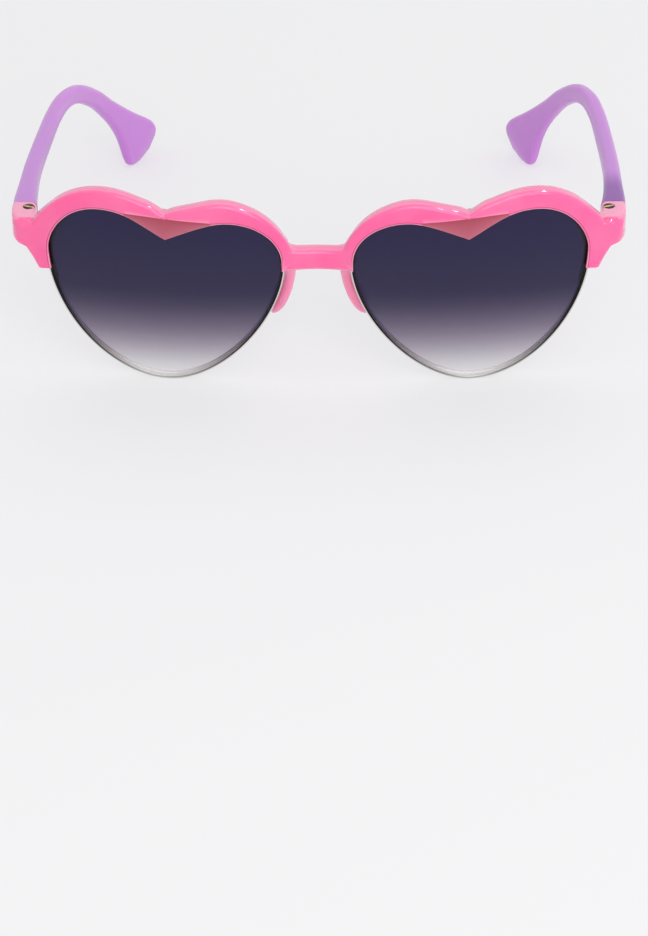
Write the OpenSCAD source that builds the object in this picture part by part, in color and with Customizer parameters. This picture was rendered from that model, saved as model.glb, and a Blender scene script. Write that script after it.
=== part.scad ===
// Heart shaped sunglasses: one moulded front with nose pads and hinge forks, two tinted
// lenses, two metal lower rims with their screws, and two folding temples.
// The front is drawn as (u, v, w): u sideways from the middle, v up from the rim bottom and
// w back from the lens surface. A spherical sag and a forward lean put it in place.

/* [Lenses] */
// Width of one lens
lens_w = 54.6; // [46:0.2:62]
// Height of one lens, bottom tip to outer lobe
lens_h = 48; // [40:0.5:56]
// Thickness of a lens
lens_t = 1.5; // [1.2:0.1:2]
// Distance between the two lenses
bridge_gap = 16.6; // [13:0.2:22]
// Depth of the notch below the outer lobe
notch_drop = 6.5; // [3:0.5:9]
// How much lower the inner lobe is than the outer lobe
lobe_step = 1.9; // [0:0.1:4]
// Radius of the lens curve
base_r = 170; // [120:5:260]
// Distance of the lens curve's centre from the middle
wrap_u = 19; // [5:1:30]

/* [Front] */
// Forward lean of the front in degrees
lean = 10; // [4:0.5:14]
// Width of the brow band over the outer lobe
brow_h = 4.8; // [3.6:0.1:6.5]
// Depth of the front moulding, front to back
front_t = 4; // [3.6:0.1:5.5]
// Plastic in front of the lens
front_lip = 1.2; // [0.9:0.1:1.6]
// Radius of the soft outer edges of the moulding
edge_r = 1.3; // [0.6:0.05:1.5]
// How far the lens runs up behind the moulding above the notch
notch_cover = 5.5; // [2:0.1:6]
// Height of the bridge bar
bridge_h = 5.4; // [4:0.1:7]
// Height of the bridge's underside above the rim bottom
bridge_v = 33.8; // [28:0.2:35]
// Length of the nose pads below the bridge
pad_l = 17.5; // [10:0.5:20]
// Breadth of the nose pads, front to back
pad_w = 5.2; // [3.6:0.1:6]
// Thickness of the nose pads
pad_t = 3; // [1.6:0.1:3.4]

/* [Lower rims] */
// Thickness of the metal wall outside the lens
rim_wall = 0.3; // [0.25:0.05:0.6]
// Thickness of the metal lips in front of and behind the lens
rim_lip = 0.3; // [0.2:0.05:0.5]
// Depth of lens edge held by the rims and the front
lens_bite = 0.4; // [0.3:0.05:0.6]
// Diameter of the rim screws
rim_screw_d = 0.9; // [0.8:0.1:1.4]

/* [Hinges] */
// How far the end pieces stand out beyond the lenses
end_out = 9.1; // [8:0.1:10.5]
// Width of an end piece
end_w = 5.9; // [5:0.1:7]
// Height of an end piece
end_h = 6.3; // [5.8:0.1:7.5]
// Length of an end piece, front to back
end_l = 9.4; // [8:0.2:12]
// Distance from the rim's bottom edge back to the temples' butt faces
joint_y = 7.8; // [7:0.1:11]
// Height of the end pieces' top above the floor
joint_z = 43.2; // [40:0.2:46]
// Diameter of the hinge screws
hinge_d = 1.6; // [1.2:0.1:2]
// Height of the tongue of each temple
tongue_h = 2.2; // [1.8:0.1:2.4]

/* [Temples] */
// Length of a temple from its butt face to its rear end
temple_l = 113.8; // [100:0.5:130]
// How far the rear end curls in from the joint's outer face
temple_in = 25; // [14:0.5:28]
// Thickness of the temple behind the joint taper
temple_t = 3.8; // [2.8:0.1:4.4]

/* [Hidden] */

// Clearances
fit_gap = 0.05;
pocket_gap = 0.12;
turn_gap = 0.05;
tight_gap = 0.02;
slide_gap = 0.12;
butt_gap = 0.15;
over = 1;

// Small details
inner_r = 0.3;
draft = 0.5;
seat = lens_bite + fit_gap;
rim_out = seat + rim_wall;
eyelet_r = 1;
eyelet_t = 0.7;
eyelet_w = 0.45;
screw_head_r = 0.65;
screw_head_t = 0.6;
screw_bite = 0.9;
drive_w = 0.22;
drive_t = 0.3;
setback = 0.3;
pad_yaw = 22;
end_r = 1.1;
side_wall = 0.9;
ear_t = 1.85;
pin_in = 1.8;
pin_back = 2.3;
tongue_r = 1.65;
hinge_head_d = 2.6;
hinge_head_t = 0.7;
temple_r = 1.5;

// Facets and stations
$fn = 48;
sphere_fn = 360;
arc_steps = 14;
band_steps = 11;
bar_steps = 5;
corner_steps = 3;
channel_steps = 6;
temple_steps = 40;
temple_end_steps = 6;

// Derived places
lens_u = bridge_gap / 2;
front_w = bridge_gap + 2 * (lens_w + end_out);
tip_v = rim_out;
front_back = front_t - front_lip;
pin_x = front_w / 2 - end_w + pin_in;
pin_y = joint_y - pin_back;
tongue_z = joint_z - ear_t - slide_gap - tongue_h;

// Smooth curve through the rows of a table; the first number of each row is its key
function rank(tab, k) = max([for (i = [0:len(tab) - 2]) if (i == 0 || tab[i][0] <= k) i]);
function slope(tab, i) = let (a = max(i - 1, 0), b = min(i + 1, len(tab) - 1))
    (tab[b] - tab[a]) / (tab[b][0] - tab[a][0]);
function curve(tab, k) = let (
        i = rank(tab, k),
        d = tab[i + 1][0] - tab[i][0],
        t = (k - tab[i][0]) / d)
    (1 + 2 * t) * (1 - t) * (1 - t) * tab[i] + t * (1 - t) * (1 - t) * d * slope(tab, i)
    + t * t * (3 - 2 * t) * tab[i + 1] - t * t * (1 - t) * d * slope(tab, i + 1);
function ease(t) = t * t * (3 - 2 * t);
function arc(c, r, a, b, n) = [for (i = [0:n]) let (t = a + (b - a) * i / n)
    c + r * [cos(t), sin(t)]];

// Heart outline of the visible lens as six curved sides; place 0 is the notch, 1 the outer
// lobe, 2 the outer side, 3 the tip, 4 the inner side and 5 the inner lobe
function on_lens(x, y) = [lens_u + x * lens_w, tip_v + y * lens_h];
notch_share = 0.493;
outer_lobe_share = 0.766;
outer_side_share = 0.747;
tip_share = 0.509;
inner_side_share = 0.733;
inner_lobe_share = 0.236;
heart_notch = on_lens(notch_share, 1 - notch_drop / lens_h);
heart_outer_lobe = on_lens(outer_lobe_share, 1);
heart_outer = on_lens(1, outer_side_share);
heart_tip = on_lens(tip_share, 0);
heart_inner = on_lens(0, inner_side_share);
heart_inner_lobe = on_lens(inner_lobe_share, 1 - lobe_step / lens_h);
notch_rise_angle = 31.6;
notch_fall_angle = 156;
handle_shares = [0.14, 0.105, 0.16, 0.075, 0.32, 0.25, 0.22, 0.27, 0.12, 0.125, 0.07, 0.1];
handle = lens_w * handle_shares;
sides = [
    [heart_notch, heart_notch + handle[0] * [cos(notch_rise_angle), sin(notch_rise_angle)],
        heart_outer_lobe - [handle[1], 0], heart_outer_lobe],
    [heart_outer_lobe, heart_outer_lobe + [handle[2], 0], heart_outer + [0, handle[3]], heart_outer],
    [heart_outer, heart_outer - [0, handle[4]], heart_tip + [handle[5], 0], heart_tip],
    [heart_tip, heart_tip - [handle[6], 0], heart_inner - [0, handle[7]], heart_inner],
    [heart_inner, heart_inner + [0, handle[8]], heart_inner_lobe - [handle[9], 0], heart_inner_lobe],
    [heart_inner_lobe, heart_inner_lobe + [handle[10], 0],
        heart_notch + handle[11] * [cos(notch_fall_angle), sin(notch_fall_angle)], heart_notch]];
function side_of(q) = let (p = q < 0 ? q + 6 : q) min(floor(p), 5);
function part_of(q) = (q < 0 ? q + 6 : q) - side_of(q);
function heart(q) = let (s = sides[side_of(q)], t = part_of(q))
    s[0] * pow(1 - t, 3) + 3 * s[1] * t * pow(1 - t, 2) + 3 * s[2] * t * t * (1 - t) + s[3] * pow(t, 3);
function heading(q) = let (s = sides[side_of(q)], t = part_of(q))
    (s[1] - s[0]) * pow(1 - t, 2) + 2 * (s[2] - s[1]) * t * (1 - t) + (s[3] - s[2]) * t * t;

// Direction out of the lens, turned upright near the notch so that no two cross
fan_reach_share = 0.6;
function square_out(q) = let (d = heading(q)) atan2(d[1], d[0]) + 90;
function notch_away(q) = min(1, min(abs(q), abs(6 - q)) / fan_reach_share);
function out_angle(q) = 90 + (square_out(q) - 90) * ease(notch_away(q));
function outward(q) = notch_away(q) < 1
    ? [cos(out_angle(q)), sin(out_angle(q))] : [cos(square_out(q)), sin(square_out(q))];

// Depth of the lens surface; between the lenses it rounds over without a crease
wrap_v_share = 0.43;
wrap_v = wrap_v_share * lens_h;
round_share = 0.9;
round_u = round_share * lens_u;
function sag_at(u, v) = base_r - sqrt(base_r * base_r - pow(u - wrap_u, 2) - pow(v - wrap_v, 2));
sag_tip = sag_at(heart_tip[0], heart_tip[1]);
function eased_u(u) = abs(u) < round_u ? (u * u + round_u * round_u) / (2 * round_u) : abs(u);
function middle(u) = abs(u) < round_u ? ease(1 - abs(u) / round_u) : 0;
function sag(u, v) = sag_at(eased_u(u), v) - sag_tip + setback * middle(u);
function on_front(p, w) = [p[0], sag(p[0], p[1]) + w, p[1]];

// Depth of lens edge behind the moulding; above the notch the lens edge runs straight on
lobe_pitch = heart_outer_lobe[0] - heart_inner_lobe[0];
function cover_v(u) = heart_notch[1] + notch_cover + (u - heart_notch[0]) * lobe_step / lobe_pitch;
function bite(q) = let (p = heart(q))
    min(abs(q), abs(6 - q)) > 1 ? lens_bite : max(lens_bite, (cover_v(p[0]) - p[1]) / outward(q)[1]);

// Section of the front moulding: s out from the lens edge, w back from the lens surface
function edge_profile(b, t, groove) = concat(
    [[0, -fit_gap], [0, inner_r - front_lip], [inner_r, -front_lip],
        [(inner_r + b - edge_r) / 2, -front_lip]],
    arc([b - edge_r, edge_r - front_lip], edge_r, -90, 0, corner_steps),
    arc([b - draft - edge_r, t - front_lip - edge_r], edge_r, 0, 90, corner_steps),
    [[inner_r, t - front_lip], [0, t - front_lip - inner_r], [0, lens_t + fit_gap],
        [groove, lens_t + fit_gap], [groove, -fit_gap]]);
// Section of the bridge bar, rounded on all four edges, with as many points
corner_share = 0.3;
under_shares = [0.4, 0.6, 0.8];
function bar_profile(b) = let (
        r = edge_r,
        c = corner_share * r,
        low = r - front_lip,
        high = front_back - r,
        under = [for (t = under_shares) low + t * (high - low)])
    concat(
        [[0, under[0]], [0, low], [c, c - front_lip], [r, -front_lip]],
        arc([b - r, low], r, -90, 0, corner_steps),
        arc([b - draft - r, high], r, 0, 90, corner_steps),
        [[r, front_back], [c, front_back - c], [0, high], [0, under[2]], [0, under[1]]]);
// Flat cap of either section as triangles
profile_cap = concat(
    [for (i = [0:6]) [16, i, i + 1]], [[16, 7, 8], [16, 8, 15]], [for (i = [8:13]) [15, i, i + 1]]);

// Width of the band and its depth along the lens edge, from inner corner to outer lug
band_shares = [[-1.8, 0.59], [-1.7, 0.56], [-1.5, 0.65], [-1.25, 0.82], [-1, 1.02], [-0.5, 1.13],
    [0, 1.33], [0.5, 1.06], [1, 0.96], [1.25, 0.89], [1.5, 0.88], [1.75, 1.07], [2, 1.24],
    [2.03, 1.06], [2.065, 0.85], [2.106, 0.7]];
lug_end_share = 2.106;
fan_start_share = -1.8;
function band(q) = brow_h * curve(band_shares, q)[1];
lug_depth_shares = [[-2, 1], [1.6, 1], [2, 1.42], [2.06, 1.15], [2.11, 1]];
function depth_at(q) = front_t * curve(lug_depth_shares, q)[1];

// Stations of one half: [lens side point, outer point, section]
function reach(q) = heart(q) + band(q) * outward(q);
band_places = concat(
    [for (i = [0:3]) lug_end_share + (2 - lug_end_share) * i / 4],
    [for (i = [0:band_steps - 1]) 2 - i / band_steps],
    [for (i = [0:band_steps - 1]) 1 - i / band_steps],
    [for (i = [0:band_steps - 1]) -i / band_steps],
    [for (i = [0:band_steps - 2]) -1 + (fan_start_share + 1) * i / (band_steps - 1)]);
band_rows = [for (q = band_places)
    [heart(q), reach(q), edge_profile(band(q), depth_at(q), bite(q) + fit_gap)]];
bar_top = bridge_v + bridge_h;
fan_turn_share = 0.75;
bar_from_share = 0.4;
fan_shares = [[0, 0], [0.25, 0.12], [0.5, 0.22], [0.75, 0.32], [1, bar_from_share]];
bar_corner = [lens_u, bridge_v];
bar_edge = [reach(fan_start_share), [0, bar_top]];
bar_curve = lens_u / 2;
function bar_line(t) = bar_edge[0] * pow(1 - t, 2)
    + 2 * [bar_curve, bar_top] * t * (1 - t) + bar_edge[1] * t * t;
fan_rows = [for (r = fan_shares) let (
        a = r[0] < 1 ? heart(fan_start_share + (-2 - fan_start_share) * r[0] / fan_turn_share) : bar_corner,
        b = bar_line(r[1]))
    [a, b, edge_profile(norm(b - a), front_t, seat)]];
bar_rows = [for (i = [1:bar_steps]) let (
        t = i / bar_steps,
        a = [lens_u * (1 - t), bridge_v],
        b = bar_line(bar_from_share + (1 - bar_from_share) * t))
    [a, b, bar_profile(norm(b - a))]];
half_rows = concat(band_rows, fan_rows, bar_rows);
function ring_of(row, x) = let (d = (row[1] - row[0]) / norm(row[1] - row[0]))
    [for (p = row[2]) let (q = on_front(row[0] + p[0] * d, p[1])) [x * q[0], q[1], q[2]]];
last_row = len(half_rows) - 1;
front_rings = concat(
    [for (i = [0:last_row]) ring_of(half_rows[i], 1)],
    [for (i = [1:last_row]) ring_of(half_rows[last_row - i], -1)]);

// Skin over rings of equal count, closed by caps given as triangles
function fan_cap(n) = [for (i = [1:n - 2]) [0, i, i + 1]];
module skin(rings, cap) {
    n = len(rings[0]);
    m = len(rings);
    polyhedron(
        points = [for (r = rings) each r],
        faces = concat(
            [for (i = [0:m - 2], j = [0:n - 1]) each [
                [i * n + j, (i + 1) * n + j, i * n + (j + 1) % n],
                [i * n + (j + 1) % n, (i + 1) * n + j, (i + 1) * n + (j + 1) % n]]],
            [for (f = cap) f],
            [for (f = cap) [(m - 1) * n + f[2], (m - 1) * n + f[1], (m - 1) * n + f[0]]]));
}

// Lower rims: a U strip round the lens from the outer lug to the inner corner
rim_from_share = 2.01;
rim_to_share = 4.1;
rim_steps = 46;
rim_profile = [[0, -fit_gap - rim_lip], [0, -fit_gap], [seat, -fit_gap], [seat, lens_t + fit_gap],
    [0, lens_t + fit_gap], [0, lens_t + fit_gap + rim_lip], [rim_out, lens_t + fit_gap + rim_lip],
    [rim_out, -fit_gap - rim_lip]];
rim_cap = [[0, 1, 2], [0, 2, 7], [7, 2, 3], [7, 3, 6], [6, 3, 5], [5, 3, 4]];
channel_profile = let (a = -fit_gap - rim_lip - pocket_gap, b = lens_t + fit_gap + rim_lip + pocket_gap)
    [[-over, a], [rim_out + pocket_gap, a], [rim_out + pocket_gap, b], [-over, b]];
function strip(profile, from, to, n) = [for (i = [0:n]) let (q = from + (to - from) * i / n)
    [for (p = profile) on_front(heart(q) + p[0] * outward(q), p[1])]];
rim_rings = strip(rim_profile, rim_from_share, rim_to_share, rim_steps);

// Temples: rows of [key, rear edge y z x, front edge y z x, thickness], as shares of the
// temple's length, the joint's height, the inward curl and the temple's thickness
temple_shares = [
    [0, 0, 1, 0.118, 0, 0.854, 0.118, 1.553],
    [0.04, 0.04, 0.993, 0.106, 0.04, 0.852, 0.106, 1.4],
    [0.11, 0.11, 0.976, 0.098, 0.11, 0.84, 0.098, 1.18],
    [0.23, 0.23, 0.947, 0.096, 0.23, 0.82, 0.096, 1.01],
    [0.41, 0.41, 0.896, 0.132, 0.41, 0.787, 0.132, 1],
    [0.55, 0.553, 0.861, 0.178, 0.548, 0.764, 0.178, 0.99],
    [0.645, 0.648, 0.833, 0.235, 0.639, 0.737, 0.25, 0.97],
    [0.725, 0.732, 0.773, 0.345, 0.712, 0.677, 0.337, 0.94],
    [0.805, 0.81, 0.64, 0.495, 0.783, 0.557, 0.452, 0.9],
    [0.865, 0.86, 0.512, 0.62, 0.831, 0.428, 0.545, 0.86],
    [0.91, 0.901, 0.41, 0.73, 0.861, 0.32, 0.62, 0.82],
    [0.945, 0.94, 0.318, 0.84, 0.882, 0.215, 0.675, 0.79],
    [0.97, 0.974, 0.245, 0.93, 0.894, 0.118, 0.71, 0.77],
    [0.985, 0.993, 0.19, 0.985, 0.9, 0.05, 0.735, 0.72],
    [0.994, 1, 0.128, 1, 0.908, 0.012, 0.765, 0.6],
    [1, 0.978, 0.045, 0.945, 0.937, 0.001, 0.83, 0.4]];
temple_edge_share = 0.45;
rear_x = front_w / 2;
function edge_point(r, j) = [rear_x - r[j + 2] * temple_in,
    joint_y + butt_gap + r[j] * temple_l, r[j + 1] * joint_z];
temple_end_share = 0.96;
function key_of(i) = let (n = temple_steps - temple_end_steps)
    i < n ? temple_end_share * i / n
    : temple_end_share + (1 - temple_end_share) * (i - n) / temple_end_steps;
temple_rows = [for (i = [0:temple_steps]) curve(temple_shares, key_of(i))];
temple_pairs = [for (r = temple_rows) [edge_point(r, 1), edge_point(r, 4), r[7] * temple_t]];
function mid_of(i) = (temple_pairs[i][0] + temple_pairs[i][1]) / 2;
function run_at(i) = i == 0 ? [0, 1, 0]
    : mid_of(min(i + 1, temple_steps)) - mid_of(i - 1);
function unit(a) = a / norm(a);
function box_ring(c, a, b, r) = [for (k = [0:3], i = [0:3]) let (
        sx = (k == 0 || k == 3) ? 1 : -1,
        sy = k < 2 ? 1 : -1,
        t = k * 90 + i * 30)
    c + (sx * (norm(a) - r) + r * cos(t)) * unit(a) - (sy * (norm(b) - r) + r * sin(t)) * unit(b)];
temple_rings = [for (i = [0:temple_steps]) let (
        p = temple_pairs[i],
        h = (p[0] - p[1]) / 2,
        n = unit(cross(run_at(i), h)),
        r = min(temple_r, temple_edge_share * p[2]))
    box_ring(mid_of(i), n * p[2] / 2, h, r)];

// Placing: the lowest edge stands on the floor and the whole is centred front to back
lean_z = [for (r = rim_rings) for (p = r) p[1] * sin(lean) + p[2] * cos(lean)];
lean_y = [for (r = front_rings) for (p = r) p[1] * cos(lean) - p[2] * sin(lean)];
back_y = [for (r = temple_rings) for (p = r) p[1]];
floor_shift = -min(lean_z);
mid_shift = -(min(lean_y) + max(back_y)) / 2;
module leaned() translate([0, mid_shift, floor_shift]) rotate([lean, 0, 0]) children();
module upright() translate([0, mid_shift, 0]) children();
// Rod along +y from a to b
module rod(r, a, b) translate([0, a, 0]) rotate([-90, 0, 0]) cylinder(r = r, h = b - a);

// Front moulding
eyelet_set = rim_out + screw_head_r + slide_gap;
channel_past_share = 0.05;
channel_gap_share = 0.015;
channel_end_share = 3.9;
outer_eyelet_share = 2.024;
inner_eyelet_share = 4.08;
function eyelet_at(q) = heart(q) + eyelet_set * outward(q);
module at_eyelet(q) translate(on_front(eyelet_at(q), 0)) children();
end_front = joint_y - end_l;
end_edge_share = 0.4;
// Rows of an end piece: [depth, inset of the outer side, of the top and of the underside]
end_shares = [[0, 0.66, 0.2, 0.12], [0.03, 0.56, 0.1, 0], [0.08, 0.45, 0.04, -0.08],
    [0.16, 0.32, 0.01, -0.13], [0.28, 0.18, 0, -0.14], [0.42, 0.08, 0, -0.11], [0.6, 0.02, 0, -0.06],
    [1, 0, 0, 0]];
end_rings = [for (r = end_shares) let (
        x1 = front_w / 2 - r[1] * end_w,
        x0 = front_w / 2 - end_w,
        z1 = joint_z - r[2] * end_h,
        z0 = joint_z - end_h + r[3] * end_h)
    box_ring([(x0 + x1) / 2, end_front + r[0] * end_l, (z0 + z1) / 2],
        [(x1 - x0) / 2, 0, 0], [0, 0, (z1 - z0) / 2], min(end_r, end_edge_share * (x1 - x0)))];
module end_block() skin(end_rings, fan_cap(16));
// Rows of a nose pad: [height, side, depth, thickness, breadth] as shares
pad_shares = [[0, 0.82, 0.1, 0.86, 0.5], [0.12, 0.8, 0.25, 0.84, 0.58], [0.3, 0.83, 0.5, 0.86, 0.76],
    [0.5, 0.93, 0.66, 0.95, 0.95], [0.68, 1.05, 0.74, 1, 1], [0.82, 1.16, 0.79, 0.95, 0.93],
    [0.93, 1.25, 0.82, 0.72, 0.68], [1, 1.3, 0.84, 0.34, 0.3]];
pad_rise = 1.6;
pad_depth = 6;
pad_steps = 15;
pad_rings = [for (i = [0:pad_steps]) let (
        r = curve(pad_shares, 1 - i / pad_steps),
        v = bridge_v + pad_rise - r[0] * (pad_l + pad_rise),
        a = pad_t / 2 * r[3],
        b = pad_w / 2 * r[4])
    [for (j = [0:11]) let (t = 30 * j, x = a * cos(t), y = b * sin(t))
        [r[1] * lens_u + x * cos(pad_yaw) + y * sin(pad_yaw),
            r[2] * pad_depth + y * cos(pad_yaw) - x * sin(pad_yaw), v]]];
module channel(from, to) skin(strip(channel_profile, from, to, channel_steps), fan_cap(4));
module half_cuts() {
    leaned() {
        channel(lug_end_share + channel_past_share, rim_from_share - channel_gap_share);
        channel(rim_to_share + channel_gap_share, channel_end_share);
        for (q = [outer_eyelet_share, inner_eyelet_share]) at_eyelet(q) {
            rod(eyelet_r + pocket_gap, eyelet_w - slide_gap, front_t + over);
            rod(rim_screw_d / 2 + tight_gap, -screw_bite, front_t);
        }
    }
    upright() {
        translate([front_w / 2 - end_w - over, pin_y - tongue_r - 2 * slide_gap, tongue_z - slide_gap])
            cube([end_w + over - side_wall, end_l, tongue_h + 2 * slide_gap]);
        translate([pin_x, pin_y, joint_z - end_h / 2 - end_h])
            cylinder(r = hinge_d / 2 + tight_gap, h = 2 * end_h);
        translate([pin_x, pin_y, joint_z - hinge_head_t])
            cylinder(r = hinge_head_d / 2 + slide_gap, h = over + hinge_head_t);
        difference() {
            translate([front_w / 2 - end_w - over, pin_y, joint_z - end_h - over])
                cube([pin_in + over, pin_back + over, end_h + 2 * over]);
            translate([pin_x, pin_y, joint_z - end_h - 2 * over])
                cylinder(r = pin_back, h = end_h + 4 * over);
        }
    }
}
module front_frame() color([0.93, 0.5, 0.62]) difference() {
    union() {
        leaned() skin(front_rings, profile_cap);
        for (x = [0, 1]) mirror([x, 0, 0]) {
            upright() end_block();
            leaned() skin(pad_rings, fan_cap(12));
        }
    }
    half_cuts();
    mirror([1, 0, 0]) half_cuts();
}

// Lenses
lens_outline = [for (i = [0:6 * arc_steps - 1]) let (q = i / arc_steps)
    heart(q) + bite(q) * outward(q)];
module lens() color([0.3, 0.25, 0.38]) leaned() intersection() {
    translate([0, base_r / 4, 0]) rotate([90, 0, 0]) linear_extrude(base_r / 2) polygon(lens_outline);
    translate([wrap_u, base_r - sag_tip, wrap_v]) difference() {
        sphere(r = base_r, $fn = sphere_fn);
        translate([0, lens_t, 0]) sphere(r = base_r, $fn = sphere_fn);
    }
}
module lens_left() lens();
module lens_right() mirror([1, 0, 0]) lens();

// Lower rims with an eyelet at each end
module lower_rim() color([0.8, 0.8, 0.82]) leaned() difference() {
    union() {
        skin(rim_rings, rim_cap);
        for (q = [outer_eyelet_share, inner_eyelet_share]) at_eyelet(q)
            rod(eyelet_r, eyelet_w, eyelet_w + eyelet_t);
    }
    for (q = [outer_eyelet_share, inner_eyelet_share]) at_eyelet(q)
        rod(rim_screw_d / 2 + tight_gap, eyelet_w - over, eyelet_w + eyelet_t + over);
}
module lower_rim_left() lower_rim();
module lower_rim_right() mirror([1, 0, 0]) lower_rim();

// Rim screws, driven from behind
module rim_screw(q) color([0.7, 0.7, 0.72]) leaned() at_eyelet(q) difference() {
    union() {
        rod(rim_screw_d / 2, tight_gap - screw_bite, eyelet_w + eyelet_t);
        rod(screw_head_r, eyelet_w + eyelet_t, eyelet_w + eyelet_t + screw_head_t);
    }
    translate([-over, eyelet_w + eyelet_t + screw_head_t - drive_t, -drive_w / 2])
        cube([2 * over, over, drive_w]);
}
module rim_screw_outer_left() rim_screw(outer_eyelet_share);
module rim_screw_outer_right() mirror([1, 0, 0]) rim_screw(outer_eyelet_share);
module rim_screw_inner_left() rim_screw(inner_eyelet_share);
module rim_screw_inner_right() mirror([1, 0, 0]) rim_screw(inner_eyelet_share);

// Temples with a tongue that turns in the slot of the end piece
module temple() color([0.66, 0.42, 0.75]) upright() difference() {
    union() {
        skin(temple_rings, fan_cap(16));
        translate([pin_x, pin_y, tongue_z]) {
            cylinder(r = tongue_r, h = tongue_h);
            translate([-tongue_r, 0, 0]) cube([2 * tongue_r, pin_back + butt_gap + over, tongue_h]);
        }
    }
    translate([pin_x, pin_y, tongue_z - over])
        cylinder(r = hinge_d / 2 + turn_gap, h = tongue_h + 2 * over);
}
module temple_left() temple();
module temple_right() mirror([1, 0, 0]) temple();

// Hinge screws
module hinge_screw() color([0.35, 0.3, 0.22]) upright() difference() {
    translate([pin_x, pin_y, 0]) {
        translate([0, 0, joint_z - end_h + inner_r])
            cylinder(r = hinge_d / 2, h = end_h - inner_r - hinge_head_t);
        translate([0, 0, joint_z - hinge_head_t]) cylinder(r = hinge_head_d / 2, h = hinge_head_t);
    }
    translate([pin_x - hinge_head_d, pin_y - drive_w, joint_z - drive_t])
        cube([2 * hinge_head_d, 2 * drive_w, over]);
}
module hinge_screw_left() hinge_screw();
module hinge_screw_right() mirror([1, 0, 0]) hinge_screw();

front_frame();
lens_right();
lens_left();
lower_rim_right();
lower_rim_left();
rim_screw_outer_right();
rim_screw_outer_left();
rim_screw_inner_right();
rim_screw_inner_left();
temple_right();
temple_left();
hinge_screw_right();
hinge_screw_left();
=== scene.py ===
"""Heart shaped sunglasses: a pink moulded front, two tinted lenses in bright lower rims, and two
purple folding temples with their screws, built in metres round the packed frame.

The front is drawn as (u, v, w): u sideways from the middle, v up from the rim bottom and w back
from the lens surface. A spherical sag and a forward lean put it in place.
"""

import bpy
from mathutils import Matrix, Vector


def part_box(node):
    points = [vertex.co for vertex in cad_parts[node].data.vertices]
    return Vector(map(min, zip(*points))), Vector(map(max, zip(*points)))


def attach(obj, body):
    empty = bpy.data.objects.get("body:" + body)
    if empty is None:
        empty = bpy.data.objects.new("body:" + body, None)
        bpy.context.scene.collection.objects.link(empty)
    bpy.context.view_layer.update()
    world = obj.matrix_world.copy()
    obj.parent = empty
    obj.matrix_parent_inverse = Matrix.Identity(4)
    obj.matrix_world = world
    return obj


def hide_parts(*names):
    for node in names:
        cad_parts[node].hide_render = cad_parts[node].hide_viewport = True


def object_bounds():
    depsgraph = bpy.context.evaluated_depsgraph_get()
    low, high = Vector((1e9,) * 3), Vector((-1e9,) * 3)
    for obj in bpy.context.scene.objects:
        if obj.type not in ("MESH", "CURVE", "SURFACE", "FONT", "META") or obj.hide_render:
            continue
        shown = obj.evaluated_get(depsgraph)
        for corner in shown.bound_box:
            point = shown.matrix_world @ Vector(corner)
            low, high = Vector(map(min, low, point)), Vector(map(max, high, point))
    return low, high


bl_info = {
    "name": "Heart Shaped Sunglasses",
    "version": (1, 0, 0),
    "blender": (4, 5, 0),
    "location": "View3D > Sidebar > Sunglasses",
    "description": "Builds heart shaped sunglasses piece by piece round their packed frame",
    "category": "Add Mesh",
}

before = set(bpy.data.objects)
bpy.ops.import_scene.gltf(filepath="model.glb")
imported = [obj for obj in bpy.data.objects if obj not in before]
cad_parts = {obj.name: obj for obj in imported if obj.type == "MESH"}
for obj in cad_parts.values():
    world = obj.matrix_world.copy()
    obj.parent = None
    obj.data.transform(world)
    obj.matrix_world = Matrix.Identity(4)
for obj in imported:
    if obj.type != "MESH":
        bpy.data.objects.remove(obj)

import math

import bmesh
import bpy
import numpy as np
from bpy.props import FloatProperty, FloatVectorProperty, PointerProperty
from mathutils import Matrix, Vector
from mathutils.kdtree import KDTree

MM = 0.001
cad_low, cad_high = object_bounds()
pin_low, pin_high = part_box("hinge_screw_left")
PIN = (pin_low + pin_high) / 2


def length(name, description, millimetres):
    return FloatProperty(name=name, description=description, default=millimetres * MM,
                         unit="LENGTH", precision=5)


def angle(name, description, degrees):
    return FloatProperty(name=name, description=description, default=math.radians(degrees),
                         subtype="ANGLE")


def power_of(name, description, watts):
    return FloatProperty(name=name, description=description, default=watts, unit="POWER")


def colour(name, description, value):
    return FloatVectorProperty(name=name, description=description, default=value, size=3,
                               min=0, max=1, subtype="COLOR")


class SunglassesLensSizes(bpy.types.PropertyGroup):
    """Outline and curve of the two lenses"""
    width: length("Lens width", "Width of the visible lens", 54.6)
    height: length("Lens height", "From the bottom tip to the outer lobe", 48)
    thickness: length("Lens thickness", "Thickness of a lens", 1.5)
    gap: length("Bridge gap", "Distance between the two lenses", 16.6)
    notch_drop: length("Notch drop", "Depth of the notch below the outer lobe", 6.5)
    lobe_step: length("Lobe step", "How much lower the inner lobe is", 1.9)
    base_radius: length("Base radius", "Radius of the lens curve", 170)
    wrap_u: length("Curve centre", "Distance of the curve's centre from the middle", 19)
    bite: length("Lens bite", "Depth of lens edge held by rim and front", 0.4)


class SunglassesFrontSizes(bpy.types.PropertyGroup):
    """Pink moulding that carries lenses, hinges and nose pads"""
    lean: angle("Lean", "Forward lean of the front", 10)
    brow: length("Brow height", "Width of the brow band over the outer lobe", 4.8)
    depth: length("Depth", "Depth of the moulding, front to back", 4)
    lip: length("Front lip", "Plastic in front of the lens", 1.2)
    edge: length("Edge radius", "Radius of the soft outer edges", 1.05)
    notch_cover: length("Notch cover", "How far the lens runs up behind the notch", 5.5)
    bridge_height: length("Bridge height", "Height of the bridge bar", 5.4)
    bridge_v: length("Bridge place", "Bridge's underside above the rim bottom", 33.8)
    setback: length("Bridge setback", "How far the middle of the bridge lies back", 0.3)
    pad_length: length("Pad length", "Length of the nose pads below the bridge", 17.5)
    pad_breadth: length("Pad breadth", "Breadth of the nose pads, front to back", 5.2)
    pad_thickness: length("Pad thickness", "Thickness of the nose pads", 3.7)


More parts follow.
